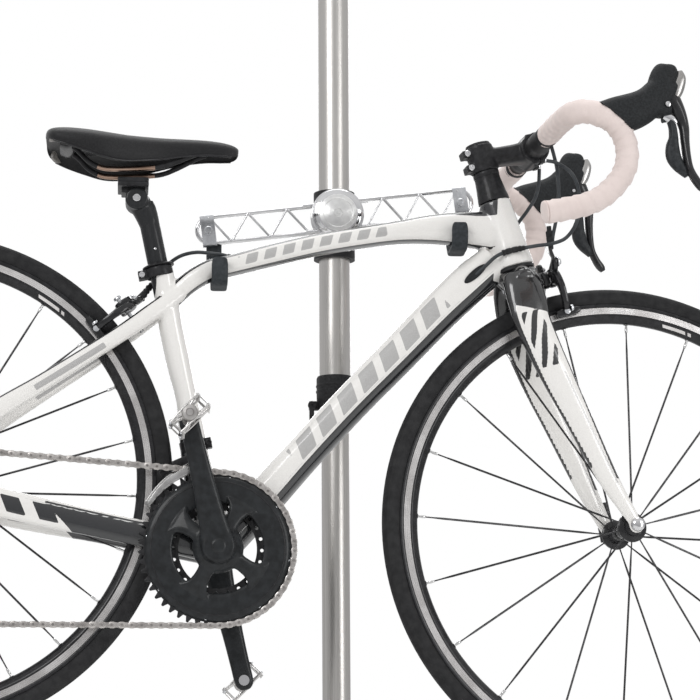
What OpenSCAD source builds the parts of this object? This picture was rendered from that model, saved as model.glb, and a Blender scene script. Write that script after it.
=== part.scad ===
// Road bicycle hung from a floor-to-ceiling display pole.
// Millimetres. +Z is up, +X is the bicycle's front, -Y is its drive side.
// The origin is on the pole's axis where its foot meets the floor.

/* [Pole] */
// Floor to ceiling height
pole_h = 2400; // [2200:10:2800]
// Outer diameter of the upper tube
upper_d = 45; // [44:0.5:50]
// Outer diameter of the lower tube, which slides inside the upper one
lower_d = 40; // [34:0.5:40]
// Wall of both tubes
tube_wall = 2; // [1.5:0.1:2.2]
// Height of the telescoping collar's lower edge
collar_z = 1383; // [1150:1:1430]
// Length of lower tube hidden inside the upper one
tube_overlap = 350; // [250:10:500]

/* [Cradle] */
// Height of the cradle hub's axis
hub_z = 1660; // [1655:1:1665]
// Radius of the cradle hub
hub_r = 36.5; // [34:0.5:40]
// Upward slope of the arms towards the bicycle's front, in degrees
arm_tilt = 7; // [6:0.5:8]
// Reach of the left arm from the hub
left_reach = 203; // [195:1:210]
// Reach of the right arm from the hub
right_reach = 197; // [190:1:200]
// Diameter of the arm rods
rod_d = 6; // [4:0.5:7]
// Distance between the two rods of one arm
rod_gap = 39; // [36:1:42]

/* [Bicycle] */
// Distance from the pole's axis to the bicycle's middle plane
bike_y = 250; // [240:1:300]
// Height of the crank axle above the floor
crank_z = 1150; // [1148:1:1155]
// Nose-down angle of the hung bicycle
pitch = 3.8; // [3.6:0.1:4]
// Left turn of the front wheel and handlebar
steer = 8.3; // [0:0.1:8.5]
// Rear axle to crank axle, level
rear_centre = 400; // [398:1:410]
// Crank axle to front axle, level
front_centre = 547; // [545:1:560]
// Height of the wheel axles above the crank axle
axle_rise = 67.5; // [64:0.5:70]
// Head tube angle
head_angle = 70.9; // [70.5:0.1:71.3]
// Seat tube angle
seat_angle = 74.5; // [74.2:0.1:74.8]
// Offset of the front axle from the steering axis
rake = 45; // [43:0.5:47]

/* [Wheels] */
// Outer radius of the tyres
wheel_r = 336; // [334:0.5:337]
// Width of the tyres
tyre_w = 25; // [23:0.5:25]
// Depth of the rims
rim_h = 26; // [22:1:30]
// Width of the rims
rim_w = 20; // [18:0.5:22]
// Spokes in the front wheel
front_spoke_n = 20; // [16:2:24]
// Spokes in the rear wheel
rear_spoke_n = 24; // [20:4:28]

/* [Drivetrain] */
// Crank length between axle and pedal axes
crank_l = 170; // [165:2.5:175]
// Angle of the right crank above the forward direction
crank_angle = 107.3; // [100:0.1:115]
// Teeth on the large chainring
big_n = 50; // [48:1:52]
// Teeth on the small chainring
small_n = 34; // [34:1:36]
// Teeth on the sprocket that carries the chain
sprocket_n = 20; // [19:1:21]
// Teeth on the two guide pulleys
pulley_n = 11; // [10:1:11]

/* [Hidden] */
$fn = 96;
// Gap between pieces that slide or turn on each other
fit = 0.05;
// Gap between pieces that must not touch
gap = 0.3;
bike_x = -179;
chain_pitch = 12.7;
chain_y = -42;
small_ring_y = -35;

// ---- placing ----

module on_bike() translate([bike_x, -bike_y, crank_z]) rotate([0, pitch, 0]) children();

// The head's frame: z up the steering axis, the front axle at x = rake.
head_x = front_centre - rake * sin(head_angle);
head_z = axle_rise - rake * cos(head_angle);
module on_head() on_bike() translate([head_x, 0, head_z]) rotate([0, head_angle - 90, 0]) children();
module on_fork() on_head() rotate([0, 0, steer]) children();
module on_seat_tube() on_bike() rotate([0, seat_angle - 90, 0]) children();
module at_rear_axle() on_bike() translate([-rear_centre, 0, axle_rise]) children();
module at_front_axle() on_fork() translate([rake, 0, 0]) children();
module on_crank() on_bike() rotate([0, -crank_angle, 0]) children();
module on_cradle() translate([0, 0, hub_z]) rotate([0, -arm_tilt, 0]) children();
// Turns a cylinder's axis to +Y.
module along_y() rotate([-90, 0, 0]) children();
module ring(outer_r, inner_r, h) difference() {
    cylinder(r = outer_r, h = h);
    translate([0, 0, -1]) cylinder(r = inner_r, h = h + 2);
}

// ---- lofts ----

function unit(v) = v / norm(v);
function tangent(p, i) = unit(p[min(i + 1, len(p) - 1)] - p[max(i - 1, 0)]);
function middles(stations) = [for (s = stations) [s[0], s[1], s[2]]];
// One elliptical ring: a is its half-height in the bicycle's plane, b its half-width.
function ellipse_ring(c, t, a, b, n) =
    let (side = unit([0, 1, 0] - t * t[1]), up = cross(t, side))
    [for (k = [0:n - 1]) c + up * a * cos(360 * k / n) + side * b * sin(360 * k / n)];
// A tube through stations [x, y, z, half-height, half-width].
module loft(stations, n = 20) {
    mid = middles(stations);
    m = len(stations);
    points = [for (i = [0:m - 1])
        each ellipse_ring(mid[i], tangent(mid, i), stations[i][3], stations[i][4], n)];
    walls = [for (i = [0:m - 2]) for (k = [0:n - 1]) let (j = (k + 1) % n)
        each [[i * n + k, i * n + j, (i + 1) * n + k], [i * n + j, (i + 1) * n + j, (i + 1) * n + k]]];
    polyhedron(points, concat(walls,
        [[for (k = [0:n - 1]) n - 1 - k]], [[for (k = [0:n - 1]) (m - 1) * n + k]]));
}
// Smooth points through a hand-chosen route, steps points to each span.
function spline(p, steps) = [for (i = [0:len(p) - 2]) for (s = [0:steps - 1])
    let (u = s / steps, a = p[max(i - 1, 0)], b = p[i], c = p[i + 1], d = p[min(i + 2, len(p) - 1)])
    0.5 * ((2 * b) + (c - a) * u + (2 * a - 5 * b + 4 * c - d) * u * u
        + (3 * b - a - 3 * c + d) * u * u * u), p[len(p) - 1]];
// A round tube swept along a route that may turn any way.
function frame_up(t) = abs(t[1]) < 0.9 ? unit([0, 1, 0] - t * t[1]) : unit([1, 0, 0] - t * t[0]);
function carried(p, i) = i == 0 ? frame_up(tangent(p, 0))
    : let (t = tangent(p, i), u = carried(p, i - 1)) unit(u - t * (u * t));
module sweep(route, r, n = 8, a0 = 0) {
    m = len(route);
    points = [for (i = [0:m - 1]) let (t = tangent(route, i), u = carried(route, i), v = cross(t, u))
        each [for (k = [0:n - 1]) route[i] + r * (u * cos(360 * k / n + a0) + v * sin(360 * k / n + a0))]];
    walls = [for (i = [0:m - 2]) for (k = [0:n - 1]) let (j = (k + 1) % n)
        each [[i * n + k, (i + 1) * n + k, i * n + j], [i * n + j, (i + 1) * n + k, (i + 1) * n + j]]];
    polyhedron(points, concat(walls,
        [[for (k = [0:n - 1]) k]], [[for (k = [0:n - 1]) (m - 1) * n + n - 1 - k]]));
}
// The same sweep with a round hole along it: one closed wall from ri to r.
module hollow_sweep(route, r, ri, n = 16) {
    m = len(route);
    points = [for (q = [r, ri]) for (i = [0:m - 1])
        let (t = tangent(route, i), u = carried(route, i), v = cross(t, u))
        each [for (k = [0:n - 1]) route[i] + q * (u * cos(360 * k / n) + v * sin(360 * k / n))]];
    w = m * n;
    walls = [for (i = [0:m - 2]) for (k = [0:n - 1]) let (j = (k + 1) % n, a = i * n, b = a + n) each [
        [a + k, b + k, a + j], [a + j, b + k, b + j],
        [w + a + k, w + a + j, w + b + k], [w + a + j, w + b + j, w + b + k]]];
    e = (m - 1) * n;
    ends = [for (k = [0:n - 1]) let (j = (k + 1) % n) each [
        [k, j, w + k], [j, w + j, w + k], [e + k, w + e + k, e + j], [e + j, w + e + k, w + e + j]]];
    polyhedron(points, concat(walls, ends));
}
// A straight rod between two points.
module rod(a, b, r) {
    d = b - a;
    translate(a) rotate([0, acos(d[2] / norm(d)), atan2(d[1], d[0])]) cylinder(r = r, h = norm(d));
}

// ---- pole ----

foot_r = 55;
foot_h = 30;
foot_web = 8;
lower_r = lower_d / 2;
upper_r = upper_d / 2;
collar_h = 50;
upper_z = collar_z + 14;
jack_plug_h = 25;
jack_r = 8;
ceiling_foot_h = 14;
upper_top = pole_h - ceiling_foot_h - 46;

module floor_foot() color("dimgray") rotate_extrude() polygon([
    [0, 0], [foot_r, 0], [foot_r, 6], [lower_r + 8, foot_h], [lower_r + fit, foot_h],
    [lower_r + fit, foot_web], [0, foot_web]]);

module lower_tube() color("silver")
    translate([0, 0, foot_web]) ring(lower_r, lower_r - tube_wall, collar_z + tube_overlap - foot_web);

module upper_tube() color("silver")
    translate([0, 0, upper_z]) ring(upper_r, upper_r - tube_wall, upper_top - upper_z);

// Two-stage clamp: the wide part grips the upper tube, the narrow part the lower one.
collar_ear_x = -32;
module pole_collar() color("#202022") difference() {
    union() {
        translate([0, 0, collar_z]) cylinder(r = lower_r + 4.5, h = 16);
        translate([0, 0, collar_z + 12]) cylinder(r = upper_r + 4, h = collar_h - 12);
        translate([collar_ear_x - 6, -6, collar_z]) cube([14, 12, 14]);
    }
    translate([0, 0, collar_z - 1]) cylinder(r = lower_r + fit, h = collar_h + 2);
    translate([0, 0, upper_z]) cylinder(r = upper_r + fit, h = collar_h);
    translate([collar_ear_x - 2, -20, collar_z + 7]) along_y() cylinder(r = 2.5 + fit, h = 40);
}

// The lever turns on its pin through the collar's ear.
module collar_lever() color("#303033") translate([collar_ear_x - 2, 0, collar_z + 7]) {
    translate([0, -12, 0]) along_y() cylinder(r = 2.5, h = 20);
    translate([0, -12, 0]) along_y() cylinder(r = 6, h = 6 - gap);
    translate([-4, -12, -34]) cube([8, 6 - gap, 34]);
}

module ceiling_jack() color("#2a2a2c") translate([0, 0, upper_top - jack_plug_h]) difference() {
    union() {
        cylinder(r = upper_r - tube_wall - fit, h = jack_plug_h + 1);
        translate([0, 0, jack_plug_h + fit]) cylinder(r = upper_r + 1, h = 6);
    }
    translate([0, 0, -1]) cylinder(r = jack_r + fit, h = jack_plug_h + 8);
}

module ceiling_foot() color("dimgray") {
    translate([0, 0, pole_h - ceiling_foot_h]) cylinder(r1 = 38, r2 = 45, h = ceiling_foot_h);
    translate([0, 0, upper_top - jack_plug_h - 30]) cylinder(r = jack_r, h = pole_h - upper_top + jack_plug_h + 24);
    translate([0, 0, upper_top + 28]) cylinder(r = 16, h = 9, $fn = 6);
}

// ---- cradle ----

carriage_z = hub_z - 54;
carriage_h = 100;
carriage_r = upper_r + 7.5;
hub_back = -38;
hub_front = -66;
spindle_r = 8;
left_plane = -45;
right_plane = -53;
rod_r = rod_d / 2;
slot_half = rod_gap / 2 + rod_r + gap;

module carriage() color("#1d1d1f") difference() {
    union() {
        translate([0, 0, carriage_z]) cylinder(r = carriage_r, h = carriage_h);
        translate([-14, hub_back + gap, hub_z - 18]) cube([28, -hub_back - upper_r, 36]);
        translate([-10, carriage_r - 6, carriage_z + 10]) cube([20, 18, carriage_h - 20]);
        translate([0, hub_back - 1, hub_z]) along_y() cylinder(r = spindle_r, h = 10);
        translate([0, hub_front - 1, hub_z]) along_y() cylinder(r = spindle_r, h = 40);
    }
    translate([0, 0, carriage_z - 1]) cylinder(r = upper_r + fit, h = carriage_h + 2);
    translate([-1.5, upper_r - 2, carriage_z - 1]) cube([3, 30, carriage_h + 2]);
}

// A drum, slotted from side to side so that both arms pass through it.
module hub() color("silver") on_cradle() difference() {
    translate([0, hub_front, 0]) along_y() cylinder(r = hub_r, h = hub_back - hub_front);
    translate([-hub_r - 1, right_plane - rod_r - gap, -slot_half])
        cube([2 * hub_r + 2, left_plane - right_plane + 2 * (rod_r + gap), 2 * slot_half]);
    translate([0, hub_front - 1, 0]) along_y() cylinder(r = spindle_r + fit, h = 40);
}

module hub_cap() color("gainsboro") on_cradle() difference() {
    union() {
        translate([0, hub_front - 6 - gap, 0]) along_y() cylinder(r1 = hub_r - 3, r2 = hub_r - 1, h = 6);
        translate([0, hub_front - 9 - gap, 0]) along_y() cylinder(r1 = hub_r - 10, r2 = hub_r - 7, h = 3);
    }
    translate([0, hub_front - 4, 0]) along_y() cylinder(r = spindle_r + fit, h = 12);
}

// Two rods joined by a bend at the outer end and a zigzag brace between them.
// side is -1 for the left arm and 1 for the right one.
brace_n = 5;
brace_start = 42;
rod_tail = 48;
module arm(side, reach, plane) on_cradle() translate([0, plane, 0]) {
    w = rod_gap / 2;
    bend_u = reach - w;
    for (s = [-1, 1]) rod([side * -rod_tail, 0, s * w], [side * bend_u, 0, s * w], rod_r);
    translate([side * bend_u, 0, 0]) along_y() rotate([0, 0, side > 0 ? -90 : 90])
        rotate_extrude(angle = 180) translate([w, 0]) circle(r = rod_r, $fn = 32);
    step = (bend_u - brace_start) / brace_n;
    for (i = [0:brace_n - 1])
        rod([side * (brace_start + i * step), 0, (i % 2 ? -w : w)],
            [side * (brace_start + (i + 1) * step), 0, (i % 2 ? w : -w)], 2);
}
module left_arm() color("silver") arm(-1, left_reach, left_plane);
module right_arm() color("silver") arm(1, right_reach, right_plane);

// A plate screwed across the arm's outer end, which carries the hook.
bracket_w = 20;
bracket_t = 3;
module bracket(side, reach, plane) on_cradle() translate([side * (reach - 16), plane - rod_r - gap, 0])
    difference() {
        translate([-bracket_w / 2, -bracket_t, -rod_gap / 2 - 5]) cube([bracket_w, bracket_t, rod_gap + 10]);
        translate([0, -bracket_t - 1, 0]) along_y() cylinder(r = 2.6, h = bracket_t + 2);
    }
module left_bracket() color("#202022") bracket(-1, left_reach, left_plane);
module right_bracket() color("#202022") bracket(1, right_reach, right_plane);

// The hook's side outline: from the bracket down and forward, under the top tube
// and up in front of it. Points are [y, z] measured from the tube's underside.
hook_w = 22;
hook_t = 8;
left_hook_x = -177;
left_hook_z = 1517.5;
right_hook_x = 149;
right_hook_z = 1570.5;
function hook_line(back_y, back_z) = [
    [back_y, back_z], [back_y, back_z - 22], [-bike_y + 60, 32], [-bike_y + 34, 8],
    [-bike_y + 20, -4.5], [-bike_y, -5], [-bike_y - 20, -4.5], [-bike_y - 29, 4], [-bike_y - 31, 27]];
function side_normal(p, i) = let (d = unit(p[min(i + 1, len(p) - 1)] - p[max(i - 1, 0)])) [-d[1], d[0]];
module strip(p, t) polygon(concat(
    [for (i = [0:len(p) - 1]) p[i] + side_normal(p, i) * t / 2],
    [for (i = [len(p) - 1:-1:0]) p[i] - side_normal(p, i) * t / 2]));
module hook(x, z, back_y, back_z) translate([x - hook_w / 2, 0, z])
    rotate([90, 0, 90]) linear_extrude(hook_w) strip(hook_line(back_y, back_z - z), hook_t);
hook_back_gap = bracket_t + rod_r + hook_t / 2 + 2 * gap;
module left_hook() color("#1b1b1c")
    hook(left_hook_x, left_hook_z, left_plane - hook_back_gap, hub_z - 6);
module right_hook() color("#1b1b1c")
    hook(right_hook_x, right_hook_z, right_plane - hook_back_gap, hub_z + 38);

// ---- frame ----

head_low = 386;
head_top = 482;
head_low_r = 29;
head_top_r = 22;
steerer_r = 14.3;
seat_tube_top = 372;
post_r = 13.6;
shell_w = 68;
axle_r = 12;
dropout_y = 65;
hanger_x = -6;
hanger_z = -30;
bolt_r = 3;

top_tube = [
    [-88, 0, 333, 13, 13], [-70, 0, 355, 14, 15], [-52, 0, 371, 14.5, 17], [-30, 0, 384, 14.5, 18],
    [-6, 0, 391, 14, 18.5],
    [48, 0, 409.5, 14.5, 19], [104, 0, 427.5, 14.5, 19], [160, 0, 442, 14.5, 19],
    [215, 0, 454.5, 15.5, 19], [264, 0, 463, 20, 20], [305, 0, 466, 24, 20], [343, 0, 467, 27, 19]];
down_tube = [
    [352, 0, 424, 26, 20], [318, 0, 391, 28, 21], [280, 0, 349, 27, 22], [225, 0, 283, 26, 23],
    [165, 0, 212, 25, 24], [105, 0, 137, 25, 25], [55, 0, 72, 26, 28], [10, 0, 12, 24, 31]];
seat_tube = [
    [-99, 0, 372, 15.7, 15.7], [-85, 0, 308, 16, 15.7], [-69.5, 0, 252, 16, 15.7],
    [-55, 0, 204, 14.5, 15.5], [-46, 0, 165, 17, 16], [-34, 0, 112, 20, 18], [-14, 0, 50, 24, 24],
    [-4, 0, 8, 24, 30]];
function seat_stay(s) = [
    [-74, s * 6, 348, 11, 8], [-105, s * 13, 319, 12, 9], [-140, s * 22, 288, 11.5, 8],
    [-173, s * 28, 261, 11.5, 7], [-245, s * 35, 206, 12, 6.5], [-308, s * 45, 158, 13.5, 7],
    [-352, s * 57, 113, 12, 6.5], [-374, s * 66, 92, 10, 5]];
function chain_stay(s) = [
    [-12, s * 17, 4, 20, 12], [-60, s * 24, 10, 19, 8], [-110, s * 26.5, 16, 18, 7],
    [-170, s * 31, 24, 18, 7.5], [-240, s * 40, 33, 19, 8], [-305, s * 50, 43, 19, 8],
    [-352, s * 58, 53, 15, 7], [-374, s * 66.5, 61, 11, 5]];

// The rear brake's bolt goes through a bridge between the seat stays.
stay_angle = 40.4;
brake_reach = 357;
module at_stay_bridge() translate([-rear_centre, 0, axle_rise]) rotate([0, 90 - stay_angle, 0])
    rotate([0, 0, 180]) translate([0, 0, brake_reach]) children();

module tyre_space(x) translate([x, 0, axle_rise]) along_y()
    translate([0, 0, -tyre_w / 2 - 4]) cylinder(r = wheel_r + 5, h = tyre_w + 8);

module frame() color("whitesmoke") {
    difference() {
        union() {
            on_head() translate([0, 0, head_low])
                cylinder(r1 = head_low_r, r2 = head_top_r, h = head_top - head_low);
            on_bike() {
                loft(top_tube);
                loft(down_tube);
                loft(seat_tube);
                for (s = [-1, 1]) {
                    loft(seat_stay(s), 16);
                    loft(chain_stay(s), 16);
                    hull() for (p = [[-rear_centre, axle_rise, 14], [-371, 93, 9], [-371, 61, 9]])
                        translate([p[0], s * (dropout_y + 3.5) - 3.5, p[1]]) along_y()
                            cylinder(r = p[2], h = 7, $fn = 32);
                }
                translate([0, -shell_w / 2, 0]) along_y() cylinder(r = 22, h = shell_w);
                at_stay_bridge() translate([0, -20, 0]) along_y() cylinder(r = 9, h = 40);
                translate([-rear_centre + hanger_x, -dropout_y - 7, axle_rise + hanger_z]) along_y()
                    cylinder(r = 9, h = 7);
                translate([-rear_centre + hanger_x - 9, -dropout_y - 7, axle_rise + hanger_z])
                    cube([18, 7, 24]);
            }
        }
        on_head() {
            translate([0, 0, head_low - 40]) cylinder(r = steerer_r + 4, h = head_top - head_low + 80);
            translate([0, 0, head_top]) cylinder(r = 60, h = 80);
            translate([0, 0, head_low - 60]) cylinder(r = 60, h = 60);
        }
        on_bike() tyre_space(-rear_centre);
        on_bike() translate([0, -shell_w, 0]) along_y() cylinder(r = axle_r + fit, h = 2 * shell_w);
        on_bike() translate([-rear_centre, -80, axle_rise]) along_y() cylinder(r = 2.6, h = 160);
        on_bike() translate([-rear_centre, -dropout_y, axle_rise]) along_y()
            cylinder(r = 30, h = 2 * dropout_y);
        on_seat_tube() translate([0, 0, 240]) cylinder(r = post_r + fit, h = 200);
        on_seat_tube() translate([0, 0, seat_tube_top + 8]) cylinder(r = 40, h = 60);
        on_bike() at_stay_bridge() translate([-40, 0, 0]) rotate([0, 90, 0]) cylinder(r = bolt_r + fit, h = 80);
    }
}

module headset() color("#161617") on_fork() {
    translate([0, 0, head_top + gap]) difference() {
        cylinder(r1 = head_top_r, r2 = steerer_r + 2, h = 37);
        translate([0, 0, -1]) cylinder(r = steerer_r + fit, h = 40);
    }
    translate([0, 0, head_low - 6]) ring(head_low_r - 1, steerer_r + fit, 6 - gap);
}

module seat_clamp() color("#161617") on_seat_tube() translate([0, 0, seat_tube_top + 8 + gap]) difference() {
    union() {
        cylinder(r = 18.5, h = 14);
        translate([-30, -8, 1]) cube([18, 16, 12]);
    }
    translate([0, 0, -1]) cylinder(r = post_r + fit, h = 16);
    translate([-40, -1, -1]) cube([30, 2, 16]);
    translate([-24, -20, 7]) along_y() cylinder(r = 2.5, h = 40);
}

post_top = 492;
post_low = 275;
module seatpost() color("#161617") on_seat_tube() {
    difference() {
        translate([0, 0, post_low]) cylinder(r = post_r, h = post_top - post_low);
        translate([0, 0, post_low - 1]) cylinder(r = post_r - 2.2, h = post_top - post_low - 17);
    }
    translate([-17, -14, post_top - 6]) cube([34, 28, 10]);
    translate([-6, -28, post_top + 4]) cube([16, 56, 4]);
}

// ---- saddle ----

saddle_line = [
    [-268, 0, 540, 6, 48], [-255, 0, 541, 14, 66], [-225, 0, 542, 16, 71], [-190, 0, 543, 15, 66],
    [-150, 0, 546, 13, 46], [-110, 0, 549, 12, 29], [-65, 0, 552, 11.5, 21], [-30, 0, 552, 10, 18],
    [-14, 0, 551, 5, 11]];
module saddle() color("#101011") on_bike() difference() {
    loft(saddle_line, 24);
    translate([-262, -44, 500]) cube([90, 88, 36]);
    translate([-175, -18, 500]) cube([140, 36, 41.5]);
}

rail_y = 22;
rail_route = [
    [-232, 20, 531], [-218, 22, 520], [-200, 22, 509], [-180, 22, 506], [-125, 22, 512.5],
    [-95, 20, 521], [-70, 15, 534], [-60, 12, 540.5]];
module saddle_rails() color("#8a6f4e") on_bike() for (s = [-1, 1])
    sweep([for (p = rail_route) [p[0], s * p[1], p[2]]], 3.5, 10);

// ---- cockpit ----

steerer_top = 562;
stem_l = 73;
stem_z = 545;
bar_z = 540;
clamp_r = 15.9;
module stem() color("#131314") on_fork() difference() {
    union() {
        translate([0, 0, stem_z - 20]) cylinder(r = 19.5, h = 38);
        hull() {
            translate([6, 0, stem_z - 1]) along_y() translate([0, 0, -14]) cylinder(r = 15, h = 28, $fn = 32);
            translate([stem_l - 18, 0, bar_z]) along_y() translate([0, 0, -20]) cylinder(r = 14, h = 40, $fn = 32);
        }
        translate([stem_l, -22, bar_z]) along_y() cylinder(r = clamp_r + 4.5, h = 44);
    }
    translate([0, 0, stem_z - 40]) cylinder(r = steerer_r + fit, h = 80);
    translate([stem_l, -40, bar_z]) along_y() cylinder(r = clamp_r + fit, h = 80);
    translate([stem_l + 1, -50, bar_z - 30]) cube([40, 100, 60]);
}

module stem_faceplate() color("#131314") on_fork() {
    difference() {
        union() {
            translate([stem_l, -22, bar_z]) along_y() cylinder(r = clamp_r + 4.5, h = 44);
            for (s = [-1, 1]) translate([stem_l, s * 14 - 5, bar_z - 24]) cube([9, 10, 48]);
        }
        translate([stem_l, -40, bar_z]) along_y() cylinder(r = clamp_r + fit, h = 80);
        translate([stem_l - 40, -50, bar_z - 30]) cube([42, 100, 60]);
    }
    translate([0, 0, stem_z + 18 + gap]) cylinder(r = 16, h = 4);
}

// One side of the bar, from its middle to its end. s is 1 for the left side.
function bar_half(s) = [
    [stem_l, 0, bar_z], [stem_l, s * 40, bar_z], [stem_l, s * 90, bar_z], [stem_l - 1, s * 150, bar_z - 1],
    [stem_l + 2, s * 184, bar_z - 3], [stem_l + 20, s * 199, bar_z - 10], [stem_l + 42, s * 204, bar_z - 28],
    [stem_l + 52, s * 205, bar_z - 54], [stem_l + 48, s * 206, bar_z - 82], [stem_l + 31, s * 207, bar_z - 106],
    [stem_l + 3, s * 208, bar_z - 124], [stem_l - 25, s * 209, bar_z - 131], [stem_l - 55, s * 210, bar_z - 132],
    [stem_l - 84, s * 210, bar_z - 130]];
bar_r = 11.9;
tape_r = 15.5;
module handlebar() color("#19191a") on_fork() difference() {
    union() {
        for (s = [-1, 1]) sweep(spline(bar_half(s), 2), bar_r, 12);
        translate([stem_l, -48, bar_z]) along_y() cylinder(r = clamp_r, h = 96);
    }
    translate([stem_l, -46, bar_z]) along_y() cylinder(r = clamp_r - 2.5, h = 92);
}

function tail(p, first) = [for (i = [first:len(p) - 1]) p[i]];
module bar_tape() color("#e9d6d2") on_fork() for (s = [-1, 1])
    hollow_sweep(tail(spline(bar_half(s), 2), 3), tape_r, bar_r + 0.6);

// Each hood leaves the front of the bar and ends in a horn.
function hood_line(s) = [
    [122, s * 205, 521, 20, 14], [142, s * 205, 521, 19, 15], [163, s * 204, 523, 18, 15],
    [182, s * 203, 530, 19, 14.5], [200, s * 202, 537, 20, 13], [214, s * 202, 541, 13, 10]];
pivot_x = 193;
pivot_z = 510;
module brake_hoods() color("#121213") on_fork() for (s = [-1, 1]) difference() {
    loft(hood_line(s), 20);
    sweep(tail(spline(bar_half(s), 2), 6), tape_r + gap, 16);
    translate([pivot_x - 9, s * 204 - 9, pivot_z - 40]) cube([70, 18, 64]);
    translate([pivot_x, s * 204 - 30, pivot_z + 4]) along_y() cylinder(r = 2.5 + fit, h = 60);
}

function lever_line(s) = [
    [205, s * 204, 524, 7, 7], [210, s * 204, 508, 7, 7], [208, s * 205, 480, 6, 7.5],
    [203, s * 207, 452, 5, 8], [200, s * 209, 428, 5, 8], [202, s * 211, 410, 4.5, 7], [203, s * 212, 403, 3, 4]];
module lever(s) on_fork() {
    loft(lever_line(s), 14);
    translate([pivot_x, s * 204 - 7, pivot_z + 4]) along_y() cylinder(r = 2.5, h = 14);
    translate([pivot_x, s * 204 - 6, pivot_z]) cube([14, 12, 8]);
}
module right_lever() color("#1a1a1b") lever(-1);
module left_lever() color("#1a1a1b") lever(1);

function paddle_line(s) = [
    [190, s * 204, 497, 4, 4.5], [190, s * 204, 475, 4, 5], [182, s * 203, 455, 5, 8],
    [180, s * 203, 438, 5, 9], [182, s * 203, 428, 3, 6]];
// The paddle behind each lever swings on a small pin that points forwards.
module paddle(s) on_fork() {
    loft(paddle_line(s), 12);
    translate([186, s * 204, 497]) rotate([0, 90, 0]) cylinder(r = 2.5, h = 13);
}
module right_paddle() color("#1a1a1b") paddle(-1);
module left_paddle() color("#1a1a1b") paddle(1);

// ---- fork ----

crown_z = 346;
fork_y = 50;
function blade(s) = [
    [-2, s * 24, 368, 26, 15], [-5, s * 30, 345, 28, 14], [-8, s * 35, 305, 26.5, 11], [0, s * 39, 235, 24, 10],
    [12, s * 42, 164, 20, 9], [27, s * 46, 75, 15.5, 8.5], [40, s * 52, 22, 11, 6.5], [43, s * 54, 8, 9, 4.5]];
module fork() color("#1c1c1e") on_fork() difference() {
    union() {
        translate([0, 0, crown_z]) cylinder(r = steerer_r, h = steerer_top - crown_z);
        hull() {
            translate([0, 0, head_low - 9]) cylinder(r = head_low_r, h = 3 - gap);
            translate([0, -28, crown_z]) cylinder(r = 18, h = 4, $fn = 32);
            translate([0, 28, crown_z]) cylinder(r = 18, h = 4, $fn = 32);
        }
        for (s = [-1, 1]) {
            loft(blade(s), 16);
            translate([rake, s * (fork_y + 3.5) - 3.5, 0]) along_y() cylinder(r = 11, h = 7);
        }
    }
    translate([rake, -fork_y, 0]) along_y() cylinder(r = 24, h = 2 * fork_y);
    translate([rake, -90, 0]) along_y() cylinder(r = 2.6, h = 180);
    for (s = [-1, 1]) translate([rake, s * (fork_y + 12) - 5, 0]) along_y() cylinder(r = 18, h = 10);
    translate([rake, 0, 0]) along_y() translate([0, 0, -tyre_w / 2 - 4])
        cylinder(r = wheel_r + 3, h = tyre_w + 8);
    translate([-100, 0, brake_reach]) rotate([0, 90, 0]) cylinder(r = bolt_r + fit, h = 200);
}

// ---- wheels ----

rim_out = wheel_r - tyre_w + 3;
rim_in = rim_out - rim_h;
module tyre() along_y() rotate_extrude($fn = 144) difference() {
    translate([wheel_r - tyre_w / 2, 0]) circle(r = tyre_w / 2, $fn = 48);
    translate([wheel_r - tyre_w / 2, 0]) circle(r = tyre_w / 2 - 3, $fn = 48);
    translate([0, -tyre_w]) square([rim_out + fit, 2 * tyre_w]);
}
module rim() along_y() rotate_extrude($fn = 144) difference() {
    polygon([[rim_in, -3], [rim_in + 10, -rim_w / 2], [rim_out, -rim_w / 2], [rim_out, rim_w / 2],
        [rim_in + 10, rim_w / 2], [rim_in, 3]]);
    polygon([[rim_in + 2.5, -2], [rim_in + 11, -rim_w / 2 + 1.6], [rim_out - 7, -rim_w / 2 + 1.6],
        [rim_out - 7, rim_w / 2 - 1.6], [rim_in + 11, rim_w / 2 - 1.6], [rim_in + 2.5, 2]]);
    translate([rim_out - 5, -rim_w / 2 + 1.6]) square([6, rim_w - 3.2]);
}
// One spoke from a hub flange to the rim, with its nipple at the rim.
spoke_r = 1;
nipple_l = 12;
module spoke(flange_r, flange_y, hub_a, rim_a) {
    a = [flange_r * cos(hub_a), flange_y, flange_r * sin(hub_a)];
    b = [rim_in * cos(rim_a), 0, rim_in * sin(rim_a)];
    rod(a, b, spoke_r);
    rod(b + unit(a - b) * nipple_l, b, 2);
}

front_flange_y = 34;
module front_tyre() color("#1a1a1b") at_front_axle() tyre();
module front_rim() color("#222223") at_front_axle() rim();
module front_spokes() color("#2b2b2c") at_front_axle()
    for (i = [0:front_spoke_n - 1]) let (a = 360 * i / front_spoke_n)
        spoke(17, (i % 2 ? 1 : -1) * front_flange_y, a, a);
module hub_shell(half, flange_a, flange_b, fr, body_r) difference() {
    union() {
        translate([0, -half, 0]) along_y() cylinder(r = 7.5, h = 2 * half);
        translate([0, flange_a, 0]) along_y() cylinder(r = body_r, h = flange_b - flange_a);
        for (y = [flange_a - 2, flange_b - 2]) translate([0, y, 0]) along_y() cylinder(r = fr, h = 4);
    }
    translate([0, -half - 1, 0]) along_y() cylinder(r = 2.6, h = 2 * half + 2);
}
module front_hub() color("#1c1c1d") at_front_axle()
    hub_shell(fork_y - gap, -front_flange_y, front_flange_y, 20, 11);
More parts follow.
